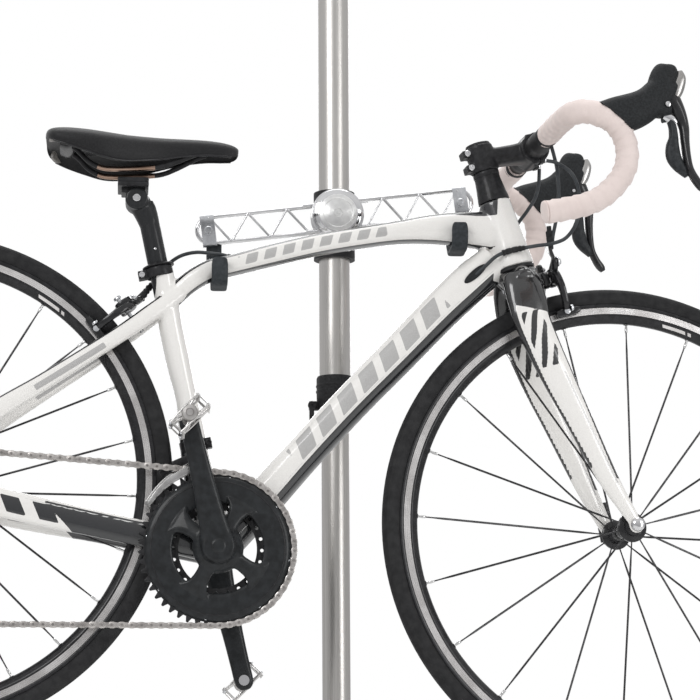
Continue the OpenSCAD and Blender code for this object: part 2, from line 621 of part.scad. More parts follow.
// The rod, its plain nut on the right side and the cam's body on the left side.
cam_y = 13;
front_lever_angle = -85;
rear_lever_angle = -40;
cam_pin_r = 2;
module skewer(half, a) rotate([0, a, 0]) {
    translate([0, -half - 14, 0]) along_y() cylinder(r = 2.5, h = 2 * half + 22);
    translate([0, -half - 16, 0]) along_y() cylinder(r1 = 7, r2 = 9, h = 9);
    difference() {
        translate([0, half + 7, 0]) along_y() cylinder(r = 9, h = 12);
        translate([0, half + cam_y, -20]) cylinder(r = cam_pin_r + fit, h = 40);
    }
}
// Two cheeks beside the cam's body carry a paddle that flips out on the cam's pin.
module quick_lever(half, a) rotate([0, a, 0]) translate([0, half + cam_y, 0]) {
    translate([0, 0, -12]) cylinder(r = cam_pin_r, h = 24);
    for (s = [-1, 1]) translate([-4, -3, s * 10.8 - 1.3]) cube([18, 6, 2.6]);
    translate([11.5, -3, -12]) cube([6, 6, 24]);
    translate([14, -3, -6.5]) cube([36, 5, 13]);
}
module front_skewer() color("silver") at_front_axle() skewer(fork_y, front_lever_angle);
module front_quick_lever() color("#202021") at_front_axle() quick_lever(fork_y, front_lever_angle);

rear_flange_r = 22;
module rear_tyre() color("#1a1a1b") at_rear_axle() tyre();
module rear_rim() color("#222223") at_rear_axle() rim();
module rear_spokes() color("#2b2b2c") at_rear_axle()
    for (i = [0:rear_spoke_n - 1])
        let (a = 360 * i / rear_spoke_n, side = i % 2 ? 36 : -19, lean = floor(i / 2) % 2 ? 1 : -1)
            spoke(rear_flange_r - 3, side + 3 * lean, a + 62 * lean, a);
module rear_hub() color("#1c1c1d") at_rear_axle() hub_shell(dropout_y - gap, -19, 36, rear_flange_r, 14);
module rear_skewer() color("silver") at_rear_axle() skewer(dropout_y, rear_lever_angle);
module rear_quick_lever() color("#202021") at_rear_axle() quick_lever(dropout_y, rear_lever_angle);

// ---- brakes ----

// One arm of a caliper, in the plane across the wheel: from the pivot at the
// bolt down to the pad beside the rim. arm_x is its distance along the bolt.
pad_y = rim_w / 2 + 2;
arm_t = 9;
module brake_arm(s, arm_x) {
    translate([arm_x, 0, 0]) rotate([90, 0, 90]) linear_extrude(arm_t) difference() {
        polygon([[-8 * s, 9], [6 * s, 12], [26 * s, 4], [33 * s, -16], [31 * s, -40], [pad_y * s + 9 * s, -52],
            [pad_y * s + 7 * s, -40], [24 * s, -22], [17 * s, -7], [0, -9], [-8 * s, -8]]);
        circle(r = bolt_r + fit);
    }
    translate([arm_x - 2, s * (pad_y + 8) - 3, -54]) cube([11, 6, 10]);
    translate([arm_x > 0 ? -6 : -7, s * pad_y + (s > 0 ? 0 : -8), -56]) cube([34, 8, 11]);
}
// The inner arm carries the bolt, whose shank fills the holes behind and ahead of it.
module inner_arm(x0, back) translate([x0, 0, 0]) {
    brake_arm(1, 0);
    translate([-x0 - back, 0, 0]) rotate([0, 90, 0]) cylinder(r = bolt_r, h = x0 + back + 2 * arm_t + 4);
    translate([2 * arm_t + 2 * gap + 1, 0, 0]) rotate([0, 90, 0]) cylinder(r = 5.5, h = 4, $fn = 6);
}
module outer_arm(x0) translate([x0, 0, 0]) brake_arm(-1, arm_t + 1);
front_arm_x = 34;
rear_arm_x = 20;
module front_brake_left() color("#17171a") on_fork() translate([0, 0, brake_reach]) inner_arm(front_arm_x, 24);
module front_brake_right() color("#17171a") on_fork() translate([0, 0, brake_reach]) outer_arm(front_arm_x);
module rear_brake_left() color("#17171a") on_bike() at_stay_bridge() inner_arm(rear_arm_x, 12);
module rear_brake_right() color("#17171a") on_bike() at_stay_bridge() outer_arm(rear_arm_x);

// ---- drivetrain ----

function pitch_r(n) = chain_pitch / 2 / sin(180 / n);
module toothed(n, tooth = 3.6) {
    r = pitch_r(n);
    step = 360 / n;
    polygon([for (i = [0:n - 1]) for (p = [[-0.32, -3.9], [-0.12, tooth], [0.12, tooth], [0.32, -3.9]])
        (r + p[1]) * [cos((i + p[0]) * step), sin((i + p[0]) * step)]]);
}
module ring_plate(n, inner, t) linear_extrude(t) difference() {
    toothed(n);
    circle(r = inner);
}
module chainrings() color("#1e1e20") on_crank() rotate([90, 0, 0]) {
    translate([0, 0, -chain_y - 1]) ring_plate(big_n, pitch_r(big_n) - 24, 2);
    translate([0, 0, -small_ring_y - 1]) ring_plate(small_n, pitch_r(small_n) - 17, 2);
}

crank_y = 62;
// y is the arm's middle. It narrows from the boss to the pedal's eye.
crank_t = 13;
module crank_arm(y) {
    loft([[-12, y, 0, 14, 5.5], [0, y, 0, 19, 7], [32, y, 0, 17.5, 7], [80, y, 0, 14.5, 6.8],
        [130, y, 0, 12.6, 6.4], [crank_l, y, 0, 11.5, 6]]);
    translate([0, y - crank_t / 2 - 1, 0]) along_y() cylinder(r = 20, h = crank_t + 2);
    translate([crank_l, y - crank_t / 2, 0]) along_y() cylinder(r = 13, h = crank_t);
}
spider_y = 48;
module right_crank() color("#17171a") on_crank() {
    difference() {
        union() {
            crank_arm(-crank_y - 7.5);
            translate([0, -crank_y - 8, 0]) along_y() cylinder(r = 34, h = 14);
            for (a = [42, 138, 222, 318]) rotate([0, a, 0])
                translate([18, -spider_y - 8.5, -9]) cube([44, 8.5, 18]);
            translate([0, -crank_y, 0]) along_y() cylinder(r = axle_r, h = 2 * crank_y + 14);
        }
        translate([0, -crank_y - 16, 0]) along_y() cylinder(r = 8, h = 2 * crank_y + 40);
        translate([crank_l, -90, 0]) along_y() cylinder(r = 7 + fit, h = 60);
    }
    spindle(-1);
}
// A pedal's spindle: a thick root screwed into the crank's eye and a thin shaft.
module spindle(s) translate([crank_l, 0, 0]) rotate([-90 * s, 0, 0]) {
    translate([0, 0, crank_y]) cylinder(r = 7, h = 15.5);
    translate([0, 0, crank_y + 15]) cylinder(r = 5, h = pedal_w - 6);
}
module left_crank() color("#17171a") on_crank() rotate([0, 180, 0]) {
    difference() {
        crank_arm(crank_y + 7.5);
        along_y() cylinder(r = axle_r + fit, h = 100);
        translate([crank_l, 0, 0]) along_y() cylinder(r = 7 + fit, h = 100);
    }
    spindle(1);
}

// The pedal hangs on its spindle, which fills the crank's eye.
pedal_w = 62;
cage_turn = -50;
module pedal_cage() difference() {
    union() {
        for (x = [-26, 22]) translate([x, -pedal_w + 8, -14]) cube([4, pedal_w - 14, 28]);
        for (y = [-pedal_w + 6, -12]) translate([-26, y, -12]) cube([52, 4, 24]);
        translate([0, -pedal_w, 0]) along_y() cylinder(r = 11, h = pedal_w - 6);
    }
    translate([0, -pedal_w + 4, 0]) along_y() cylinder(r = 5 + fit, h = pedal_w);
}
module pedal_at(s) on_crank() translate([s * crank_l, -s * (crank_y + 16), 0])
    rotate([0, crank_angle, 0]) mirror([0, s < 0 ? 1 : 0, 0]) rotate([0, cage_turn, 0]) pedal_cage();
module right_pedal() color("silver") pedal_at(1);
module left_pedal() color("silver") pedal_at(-1);

sprocket_teeth = [28, 25, 23, 21, 20, 18, 16, 14, 13, 12, 11];
sprocket_step = 3.5;
sprocket_t = 1.6;
chain_index = 4;
cassette_y = chain_y + chain_index * sprocket_step;
module cassette() color("silver") at_rear_axle() rotate([90, 0, 0]) difference() {
    union() {
        for (i = [0:len(sprocket_teeth) - 1])
            translate([0, 0, -cassette_y + i * sprocket_step - sprocket_t / 2])
                linear_extrude(sprocket_t) toothed(sprocket_teeth[i], 2.4);
        translate([0, 0, -cassette_y - 4]) cylinder(r = 17.5, h = dropout_y + cassette_y + 3);
    }
    translate([0, 0, -cassette_y - 5]) cylinder(r = 14 + fit, h = 50);
}

// The chain runs over the sprocket and the big ring, back under the lower
// pulley and forward round the upper one.
upper_pulley = [-rear_centre + 8, axle_rise - 75];
lower_pulley = [-rear_centre + 24, axle_rise - 169];
pulley_r = pitch_r(pulley_n);
// Each stop is [centre, radius, turning sense].
chain_stops = [
    [[-rear_centre, axle_rise], pitch_r(sprocket_n), -1], [[0, 0], pitch_r(big_n), -1],
    [lower_pulley, pulley_r, -1], [upper_pulley, pulley_r, 1]];
function heading(a, b) = atan2(b[1] - a[1], b[0] - a[0]);
// Direction of the straight run that leaves stop p and meets stop q.
function run_angle(p, q) = heading(p[0], q[0]) + asin((q[2] * q[1] - p[2] * p[1]) * -1 / norm(q[0] - p[0]));
function touch(stop, a) = stop[0] + stop[1] * stop[2] * [sin(a), -cos(a)];
function turned(a0, a1, s) = s > 0 ? (a1 - a0 + 720) % 360 : -((a0 - a1 + 720) % 360);
function chain_path() = [for (i = [0:3])
    let (p = chain_stops[(i + 3) % 4], q = chain_stops[i], r = chain_stops[(i + 1) % 4],
        a0 = run_angle(p, q), a1 = run_angle(q, r), d = turned(a0, a1, q[2]), n = ceil(abs(d) / 12))
    for (k = [0:n]) touch(q, a0 + d * k / n)];
module chain_plate(t) {
    p = chain_path();
    m = len(p);
    n = [for (i = [0:m - 1]) let (d = unit(p[(i + 1) % m] - p[(i + m - 1) % m])) [-d[1], d[0]]];
    linear_extrude(t) difference() {
        polygon([for (i = [0:m - 1]) p[i] + n[i] * 3.8]);
        polygon([for (i = [0:m - 1]) p[i] - n[i] * 3.8]);
    }
}
module chain() color("silver") on_bike() rotate([90, 0, 0])
    for (z = [1.3, -2.4]) translate([0, 0, -chain_y + z]) chain_plate(1.1);

// Two plates either side of the chain, a bridge behind them and an arm towards
// the seat tube.
fd_in = 5;
module fd_sector(r0, r1, a0, a1) polygon(concat(
    [for (k = [0:8]) let (a = a0 + (a1 - a0) * k / 8) r0 * [cos(a), sin(a)]],
    [for (k = [8:-1:0]) let (a = a0 + (a1 - a0) * k / 8) r1 * [cos(a), sin(a)]]));
module front_derailleur() color("#1a1a1c") on_bike() rotate([90, 0, 0]) translate([0, 0, -chain_y]) {
    r = pitch_r(big_n) + fd_in;
    for (z = [-6.5, 5]) translate([0, 0, z]) linear_extrude(1.5) fd_sector(r, r + 15, 106, 150);
    translate([0, 0, -6.5]) linear_extrude(13) fd_sector(r + 13, r + 15, 106, 114);
    translate([0, 0, -14]) linear_extrude(9) fd_sector(r + 4, r + 24, 106, 124);
}

pulley_y = chain_y;
module rear_derailleur() color("#1a1a1c") on_bike() rotate([90, 0, 0]) {
    translate([-rear_centre + hanger_x, axle_rise + hanger_z, dropout_y + 7 + gap]) cylinder(r = 10, h = 14);
    hull() {
        translate([-rear_centre + hanger_x, axle_rise + hanger_z - 16, dropout_y + 9.5]) cylinder(r = 9, h = 10, $fn = 32);
        translate([upper_pulley[0] - 8, upper_pulley[1], 51]) cylinder(r = 9, h = 16, $fn = 32);
    }
}
cage_t = 1.5;
module derailleur_cage() color("#1a1a1c") on_bike() rotate([90, 0, 0]) {
    for (z = [-6, 4.5]) translate([0, 0, -pulley_y + z]) hull() {
        translate(upper_pulley) cylinder(r = 9, h = cage_t, $fn = 32);
        translate(lower_pulley) cylinder(r = 9, h = cage_t, $fn = 32);
    }
    for (p = [upper_pulley, lower_pulley]) translate([p[0], p[1], -pulley_y]) {
        translate([0, 0, -1]) linear_extrude(2) toothed(pulley_n, 2.2);
        translate([0, 0, -6]) cylinder(r = 4, h = 12);
    }
}

// ---- cables ----

// A point of the steered front end in the bicycle's own frame.
function steered(p) = let (x = p[0] * cos(steer) - p[1] * sin(steer), y = p[0] * sin(steer) + p[1] * cos(steer),
    t = 90 - head_angle) [head_x + x * cos(t) - p[2] * sin(t), y, head_z + x * sin(t) + p[2] * cos(t)];
cable_r = 2.5;
// Two housings from the bar into ports beside the head tube, and the rear brake's
// housing from the top tube, past the seat clamp, to the caliper.
right_shift_cable = [steered([84, -58, 521]), steered([98, -50, 500]), steered([92, -44, 460]),
    [425, -34, 452], [394, -33, 447], [370, -32, 442]];
left_shift_cable = [steered([80, 54, 522]), steered([98, 46, 496]), steered([90, 38, 456]),
    [422, 36, 450], [394, 34, 447], [370, 32, 442]];
rear_brake_cable = [[-10, -4, 409], [-30, -8, 412], [-55, -12, 412], [-78, -18, 406], [-100, -25, 392],
    [-120, -24, 366], [-142, -16, 347], [-160, -8, 338]];
module rear_cables() color("#3a3a3c") on_bike()
    for (route = [right_shift_cable, left_shift_cable, rear_brake_cable]) sweep(spline(route, 3), cable_r, 8);
// The front brake's housing, from the bar to the caliper's outer arm.
front_brake_cable = [[80, -74, 519], [104, -64, 500], [116, -48, 465], [106, -34, 425], [84, -24, 395],
    [68, -22, 366]];
module front_cables() color("#1a1a1b") on_fork() sweep(spline(front_brake_cable, 3), cable_r, 8);

floor_foot();
lower_tube();
upper_tube();
pole_collar();
collar_lever();
ceiling_jack();
ceiling_foot();
carriage();
hub();
hub_cap();
left_arm();
right_arm();
left_bracket();
right_bracket();
left_hook();
right_hook();
frame();
headset();
seat_clamp();
seatpost();
saddle();
saddle_rails();
stem();
stem_faceplate();
handlebar();
bar_tape();
brake_hoods();
left_lever();
right_lever();
left_paddle();
right_paddle();
fork();
front_tyre();
front_rim();
front_spokes();
front_hub();
front_skewer();
front_quick_lever();
rear_tyre();
rear_rim();
rear_spokes();
rear_hub();
rear_skewer();
rear_quick_lever();
front_brake_left();
front_brake_right();
rear_brake_left();
rear_brake_right();
right_crank();
left_crank();
chainrings();
chain();
cassette();
front_derailleur();
rear_derailleur();
derailleur_cage();
right_pedal();
left_pedal();
rear_cables();
front_cables();
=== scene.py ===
from math import radians, pi, sin, cos, sqrt, copysign, atan2, hypot, asin
import bmesh
import bpy
import numpy as np
from mathutils import Matrix, Vector


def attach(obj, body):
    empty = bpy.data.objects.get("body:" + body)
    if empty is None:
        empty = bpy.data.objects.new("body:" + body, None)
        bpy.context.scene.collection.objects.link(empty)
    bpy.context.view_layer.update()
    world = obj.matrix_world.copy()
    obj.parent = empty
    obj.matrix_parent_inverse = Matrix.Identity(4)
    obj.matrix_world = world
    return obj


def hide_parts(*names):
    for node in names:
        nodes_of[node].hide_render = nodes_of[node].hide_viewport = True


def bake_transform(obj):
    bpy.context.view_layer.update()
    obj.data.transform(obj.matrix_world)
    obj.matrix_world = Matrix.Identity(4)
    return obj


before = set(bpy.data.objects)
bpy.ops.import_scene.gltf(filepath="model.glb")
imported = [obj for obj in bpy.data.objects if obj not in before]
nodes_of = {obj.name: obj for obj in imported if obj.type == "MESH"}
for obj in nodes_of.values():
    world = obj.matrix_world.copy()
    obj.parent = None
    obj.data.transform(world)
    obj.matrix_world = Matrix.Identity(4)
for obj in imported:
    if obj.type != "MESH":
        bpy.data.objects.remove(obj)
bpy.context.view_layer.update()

scene = bpy.context.scene


# ---- Camera, floor and light -------------------------------------------------
# A long lens stands low on the drive side and looks a little up at the hung
# bicycle. The room is a white studio with soft boxes above and to both sides.
eye = bpy.data.cameras.new("eye")
eye.lens, eye.sensor_width, eye.clip_end = 135.4, 36.0, 80.0
camera = bpy.data.objects.new("camera", eye)
camera.location = (-0.300, -3.739, 0.757)
camera.rotation_euler = (radians(90 + 10.806), radians(0.331), -radians(4.86))
scene.collection.objects.link(camera)
scene.camera = camera
scene.view_settings.view_transform = "Standard"

room = bpy.data.worlds.new("studio")
room.use_nodes = True
sky, wire = room.node_tree.nodes, room.node_tree.links
where, split = sky.new("ShaderNodeTexCoord"), sky.new("ShaderNodeSeparateXYZ")
height, sideways = sky.new("ShaderNodeValToRGB"), sky.new("ShaderNodeValToRGB")
height.color_ramp.elements[0].position, height.color_ramp.elements[0].color = 0.28, (0.30, 0.30, 0.31, 1)
height.color_ramp.elements[1].position, height.color_ramp.elements[1].color = 0.80, (1.0, 1.0, 1.0, 1)
low = height.color_ramp.elements.new(0.52)
low.color = (0.62, 0.62, 0.63, 1)
for place, level in ((0.0, 0.9), (0.20, 0.35), (0.36, 1.0), (0.64, 1.0), (0.82, 0.3), (1.0, 0.8)):
    stop = (sideways.color_ramp.elements[0] if place == 0 else sideways.color_ramp.elements[1]
            if place == 1 else sideways.color_ramp.elements.new(place))
    stop.position, stop.color = place, (level, level, level, 1)
shift = [sky.new("ShaderNodeMath") for _ in range(2)]
for s in shift:
    s.operation = "MULTIPLY_ADD"
    s.inputs[1].default_value, s.inputs[2].default_value = 0.5, 0.5
soft = sky.new("ShaderNodeMix")
soft.data_type, soft.blend_type = "RGBA", "MULTIPLY"
soft.inputs["Factor"].default_value = 0.7
wire.new(where.outputs["Generated"], split.inputs[0])
wire.new(split.outputs["Z"], shift[0].inputs[0])
wire.new(split.outputs["X"], shift[1].inputs[0])
wire.new(shift[0].outputs[0], height.inputs["Fac"])
wire.new(shift[1].outputs[0], sideways.inputs["Fac"])
wire.new(height.outputs["Color"], soft.inputs[6])
wire.new(sideways.outputs["Color"], soft.inputs[7])
seen, glow, plain, both = (sky.new("ShaderNodeLightPath"), sky["Background"],
                           sky.new("ShaderNodeBackground"), sky.new("ShaderNodeMixShader"))
glow.inputs["Strength"].default_value = 0.95
plain.inputs["Color"].default_value = (1, 1, 1, 1)
plain.inputs["Strength"].default_value = 1.0
wire.new(soft.outputs[2], glow.inputs["Color"])
wire.new(seen.outputs["Is Camera Ray"], both.inputs[0])
wire.new(glow.outputs[0], both.inputs[1])
wire.new(plain.outputs[0], both.inputs[2])
wire.new(both.outputs[0], sky["World Output"].inputs["Surface"])
scene.world = room


def soft_box(name, at, aim, size, watts):
    lamp = bpy.data.lights.new(name, "AREA")
    lamp.shape, lamp.size, lamp.size_y, lamp.energy = "RECTANGLE", size[0], size[1], watts
    holder = bpy.data.objects.new(name, lamp)
    holder.location = at
    holder.rotation_euler = (Vector(aim) - Vector(at)).to_track_quat("-Z", "Y").to_euler()
    scene.collection.objects.link(holder)


soft_box("key_box", (-2.6, -3.6, 3.4), (0, -0.2, 1.4), (1.8, 1.8), 62)
soft_box("fill_box", (3.0, -3.0, 1.9), (0, -0.2, 1.4), (1.2, 2.4), 38)
soft_box("top_box", (0.1, 0.4, 4.6), (0, -0.1, 1.4), (2.4, 1.6), 42)
soft_box("back_box", (0.5, 3.6, 2.6), (0, -0.1, 1.3), (2.2, 1.6), 40)

floor_mesh = bpy.data.meshes.new("floor")
floor_mesh.from_pydata([(-9, -9, -0.0005), (9, -9, -0.0005), (9, 9, -0.0005), (-9, 9, -0.0005)], [],
    [(0, 1, 2, 3)])
floor = bpy.data.objects.new("floor", floor_mesh)
scene.collection.objects.link(floor)


# ---- Floor finish ------------------------------------------------------------
# Pale sealed concrete, faintly mottled, so that it reads as a plain studio floor.
# A dull, even coat keeps the shadows soft and the bicycle the only sharp thing.
def finish(name, dark, light, rough, metal=0.0, coat=0.0, grain=60.0, stretch=(1, 1, 1), bump=0.15,
           depth=0.0002, rough_play=0.06, turn=(0, 0, 0), sheen=0.0):
    """A surface whose tone runs from dark to light over its grain, with a matching bump."""
    made = bpy.data.materials.new(name)
    made.use_nodes = True
    n, link = made.node_tree.nodes, made.node_tree.links
    skin_node = n["Principled BSDF"]
    at, move, noise, fine = (n.new("ShaderNodeTexCoord"), n.new("ShaderNodeMapping"),
                             n.new("ShaderNodeTexNoise"), n.new("ShaderNodeTexNoise"))
    move.inputs["Scale"].default_value = stretch
    move.inputs["Rotation"].default_value = turn
    noise.inputs["Scale"].default_value, noise.inputs["Detail"].default_value = grain, 4
    fine.inputs["Scale"].default_value, fine.inputs["Detail"].default_value = grain * 7, 3
    tone, play, raised = n.new("ShaderNodeValToRGB"), n.new("ShaderNodeMapRange"), n.new("ShaderNodeBump")
    tone.color_ramp.elements[0].position, tone.color_ramp.elements[0].color = 0.36, (*dark, 1)
    tone.color_ramp.elements[1].position, tone.color_ramp.elements[1].color = 0.64, (*light, 1)
    play.inputs["To Min"].default_value = max(rough - rough_play, 0.02)
    play.inputs["To Max"].default_value = min(rough + rough_play, 1.0)
    raised.inputs["Strength"].default_value, raised.inputs["Distance"].default_value = bump, depth
    link.new(at.outputs["Object"], move.inputs["Vector"])
    for texture in (noise, fine):
        link.new(move.outputs[0], texture.inputs["Vector"])
    link.new(noise.outputs["Fac"], tone.inputs["Fac"])
    link.new(tone.outputs["Color"], skin_node.inputs["Base Color"])
    link.new(fine.outputs["Fac"], play.inputs["Value"])
    link.new(play.outputs["Result"], skin_node.inputs["Roughness"])
    link.new(fine.outputs["Fac"], raised.inputs["Height"])
    link.new(raised.outputs[0], skin_node.inputs["Normal"])
    skin_node.inputs["Metallic"].default_value = metal
    skin_node.inputs["Coat Weight"].default_value = coat
    skin_node.inputs["Coat Roughness"].default_value = 0.06
    skin_node.inputs["Sheen Weight"].default_value = sheen
    skin_node.inputs["Specular IOR Level"].default_value = 0.5 if max(light) > 0.09 or metal else 0.16
    return made


floor_mesh.materials.append(finish("pale_floor", (0.74, 0.74, 0.735), (0.80, 0.80, 0.795), 0.6, grain=2.5))


# ---- Pole --------------------------------------------------------------------
# Two telescoping tubes of pale brushed and anodised aluminium, sprung between
# the floor and the ceiling. Both feet are moulded black rubber-faced plastic.
mm = 0.001


def dress(node, made):
    """A CAD piece keeps its own shape and takes a finish."""
    piece = nodes_of[node]
    piece.data.materials.clear()
    piece.data.materials.append(made)


def skin(rings, caps=True, loop=False):
    """Quads between neighbouring rings of points, with a fan over each end."""
    n, verts, faces = len(rings[0]), [p for r in rings for p in r], []
    for i in range(len(rings) - (0 if loop else 1)):
        j = (i + 1) % len(rings)
        faces += [(i * n + k, i * n + (k + 1) % n, j * n + (k + 1) % n, j * n + k) for k in range(n)]
    if caps and not loop:
        for i in (0, len(rings) - 1):
            verts.append(sum((Vector(p) for p in rings[i]), Vector()) / n)
            faces += [(i * n + k, i * n + (k + 1) % n, len(verts) - 1) for k in range(n)]
    return verts, faces


def lathe(outline, around=72, axis="z", loop=False, at=(0, 0, 0)):
    """Turns (radius, height) points about an axis. A loop is a closed section, as of a ring."""
    rings = []
    for r, h in outline:
        ring = []
        for k in range(around):
            c, s = r * cos(2 * pi * k / around), r * sin(2 * pi * k / around)
            p = {"z": (c, s, h), "y": (c, h, s), "x": (h, c, s)}[axis]
            ring.append((p[0] + at[0], p[1] + at[1], p[2] + at[2]))
        rings.append(ring)
    return skin(rings, loop=loop)


def together(*shapes):
    verts, faces = [], []
    for v, f in shapes:
        start = len(verts)
        verts += v
        faces += [tuple(i + start for i in face) for face in f]
    return verts, faces


def moved(shape, place):
    return [place @ Vector(v) for v in shape[0]], shape[1]


def add(name, shape, place, made, body, stands_for=(), bevel=0.0, steps=2, crease=38):
    """Sets a shape drawn in millimetres in its place in metres, and hangs it on its body."""
    mesh = bpy.data.meshes.new(name)
    mesh.from_pydata([place @ (Vector(v) * mm) for v in shape[0]], [], shape[1])
    work = bmesh.new()
    work.from_mesh(mesh)
    bmesh.ops.remove_doubles(work, verts=work.verts, dist=2e-6)
    bmesh.ops.recalc_face_normals(work, faces=work.faces)
    if bevel:
        edges = [e for e in work.edges if len(e.link_faces) == 2 and e.calc_face_angle(0) > radians(crease)]
        bmesh.ops.bevel(work, geom=edges, offset=bevel * mm, segments=steps, profile=0.6, affect="EDGES",
                        clamp_overlap=True)
    work.to_mesh(mesh)
    work.free()
    mesh.polygons.foreach_set("use_smooth", [True] * len(mesh.polygons))
    mesh.set_sharp_from_angle(angle=radians(crease))
    mesh.materials.append(made)
    piece = bpy.data.objects.new(name, mesh)
    scene.collection.objects.link(piece)
    if body:
        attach(piece, body)
    if stands_for:
        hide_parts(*stands_for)
    return piece


home = Matrix.Identity(4)
aluminium = finish("brushed_aluminium", (0.50, 0.485, 0.465), (0.58, 0.565, 0.545), 0.34, metal=1.0,
    grain=9,
                   stretch=(60, 60, 0.5), bump=0.10, depth=0.0001, rough_play=0.05)
moulding = finish("black_moulding", (0.018, 0.018, 0.019), (0.030, 0.030, 0.032), 0.48, grain=300,
    bump=0.25)
foot_rubber = finish("foot_rubber", (0.020, 0.020, 0.021), (0.034, 0.034, 0.036), 0.72, grain=180, bump=0.4)
dress("lower_tube", aluminium)
dress("upper_tube", aluminium)
dress("floor_foot", foot_rubber)
dress("ceiling_jack", moulding)

# The telescoping clamp between the tubes: a glass-filled nylon collar in two
# steps, split behind, that a cam lever squeezes on its steel pin.
add("telescope_collar", together(
    lathe([(20.05, 1383), (24.5, 1383), (25, 1385), (25, 1396), (26.5, 1398), (26.8, 1404), (26.8, 1430),
           (25.5, 1433), (22.6, 1433), (22.6, 1397.2), (20.05, 1397)], loop=True),
    lathe([(26.8, 1409), (27.6, 1410), (27.6, 1412), (26.8, 1413)], loop=True),
    lathe([(26.8, 1417), (27.6, 1418), (27.6, 1420), (26.8, 1421)], loop=True)),
    home, moulding, "mast", ["pole_collar"])


def block(lo, hi):
    (a, b, c), (d, e, f) = lo, hi
    return ([(a, b, c), (d, b, c), (d, e, c), (a, e, c), (a, b, f), (d, b, f), (d, e, f), (a, e, f)],
            [(0, 3, 2, 1), (4, 5, 6, 7), (0, 1, 5, 4), (1, 2, 6, 5), (2, 3, 7, 6), (3, 0, 4, 7)])


add("collar_ear", block((-38, -5.5, 1384), (-24, 5.5, 1397)), home, moulding, "mast", bevel=2)
add("collar_cam_lever", together(
    moved(lathe([(2.5, 0), (2.5, 20)], 32, "y"), Matrix.Translation((-34, -12, 1390))),
    moved(lathe([(6, 0), (6, 5.7)], 40, "y"), Matrix.Translation((-34, -12, 1390))),
    block((-38, -11.8, 1356), (-31, -6.3, 1388)), block((-39.5, -11.8, 1353), (-32.5, -6.3, 1360))),
    home, moulding, "collar_lever", ["collar_lever"], bevel=1.2)

threaded = finish("zinc_thread", (0.40, 0.40, 0.41), (0.56, 0.56, 0.57), 0.30, metal=1.0, grain=40,
                  stretch=(1, 1, 30), bump=0.5, depth=0.0006)
turns = [(8.0 if k % 2 else 7.0, 2268 + k * 1.25) for k in range(0, 85)]
add("ceiling_screw", together(lathe([(7.0, 2262)] + turns + [(7, 2388)], 48),
                              lathe([(9, 2368), (16, 2368), (16, 2376), (9, 2376)], 6, loop=True)),
    home, threaded, "ceiling_foot", ["ceiling_foot"], bevel=0.3, crease=50)
add("ceiling_pad", lathe([(0, 2384), (34, 2384), (38, 2386), (44.5, 2396), (45, 2400), (0, 2400)]),
    home, foot_rubber, "ceiling_foot")


# ---- Sliding carriage and cradle ---------------------------------------------
# A moulded black clamp slides on the pole and carries a chromed drum. Two
# welded and chromed wire arms pass through the drum's slot and hold the hooks.
chrome = finish("chrome_plate", (0.60, 0.60, 0.61), (0.72, 0.72, 0.73), 0.10, metal=1.0, grain=25,
    bump=0.04,
                depth=0.0001, rough_play=0.04)
dress("carriage", moulding)
dress("hub", chrome)
brushed = finish("turned_face", (0.60, 0.60, 0.60), (0.80, 0.80, 0.79), 0.30, metal=1.0, grain=40, bump=0.1)
n, link = brushed.node_tree.nodes, brushed.node_tree.links
rings_at = n.new("ShaderNodeMapping")
ring_wave, ring_bump = n.new("ShaderNodeTexWave"), n.new("ShaderNodeBump")
rings_at.inputs["Location"].default_value = (0, 0, -1.660)
ring_wave.wave_type, ring_wave.rings_direction = "RINGS", "Y"
ring_wave.inputs["Scale"].default_value, ring_wave.inputs["Distortion"].default_value = 900, 1.5
ring_bump.inputs["Strength"].default_value, ring_bump.inputs["Distance"].default_value = 0.25, 0.0001
link.new(n["Texture Coordinate"].outputs["Object"], rings_at.inputs["Vector"])
link.new(rings_at.outputs[0], ring_wave.inputs["Vector"])
link.new(ring_wave.outputs["Fac"], ring_bump.inputs["Height"])
link.new(ring_bump.outputs[0], n["Principled BSDF"].inputs["Normal"])

cradle = Matrix.Translation((0, 0, 1.660)) @ Matrix.Rotation(radians(-7), 4, "Y")
add("hub_rim", lathe([(37.6, -38.4), (37.6, -42), (36.6, -43.5), (36.6, -61), (37.8, -62.5), (37.8, -65.6),
                      (36.2, -66), (36.5, -52), (36.2, -38)], 96, "y", loop=True), cradle, chrome, "cradle")
add("hub_knob", lathe([(0, -66.3), (35.5, -66.3), (35.9, -67.5), (35.2, -71.5), (33.2, -73.2),
    (30.5, -73.6),
                       (29.4, -74.4), (27.8, -74.8), (0, -74.8)], 96, "y"), cradle, chrome, "knob",
                       ["hub_cap"])
add("hub_face", together(
    lathe([(0, -75.3), (26.5, -75.3), (27.2, -74.9), (27.2, -74.6), (0, -74.6)], 96, "y"),
    lathe([(20.4, -75.2), (21.2, -75.7), (22.0, -75.2)], 96, "y", loop=True),
    lathe([(4.5, -75.2), (5.2, -75.9), (6.4, -75.9), (7, -75.2)], 48, "y", loop=True),
    lathe([(0, -75.9), (2.0, -75.9), (2.4, -75.2), (0, -75.2)], 32, "y")), cradle, brushed, "knob")


def curve_through(stops, steps=6):
    """A smooth line through given stops. Every column is smoothed alike."""
    out, n = [], len(stops)
    for i in range(n - 1):
        four = (stops[max(i - 1, 0)], stops[i], stops[i + 1], stops[min(i + 2, n - 1)])
        for k in range(steps):
            u = k / steps
            out.append([0.5 * (2 * q + (r - p) * u + (2 * p - 5 * q + 4 * r - s) * u * u
                               + (3 * q - p - 3 * r + s) * u ** 3) for p, q, r, s in zip(*four)])
    out.append(list(stops[-1]))
    return out


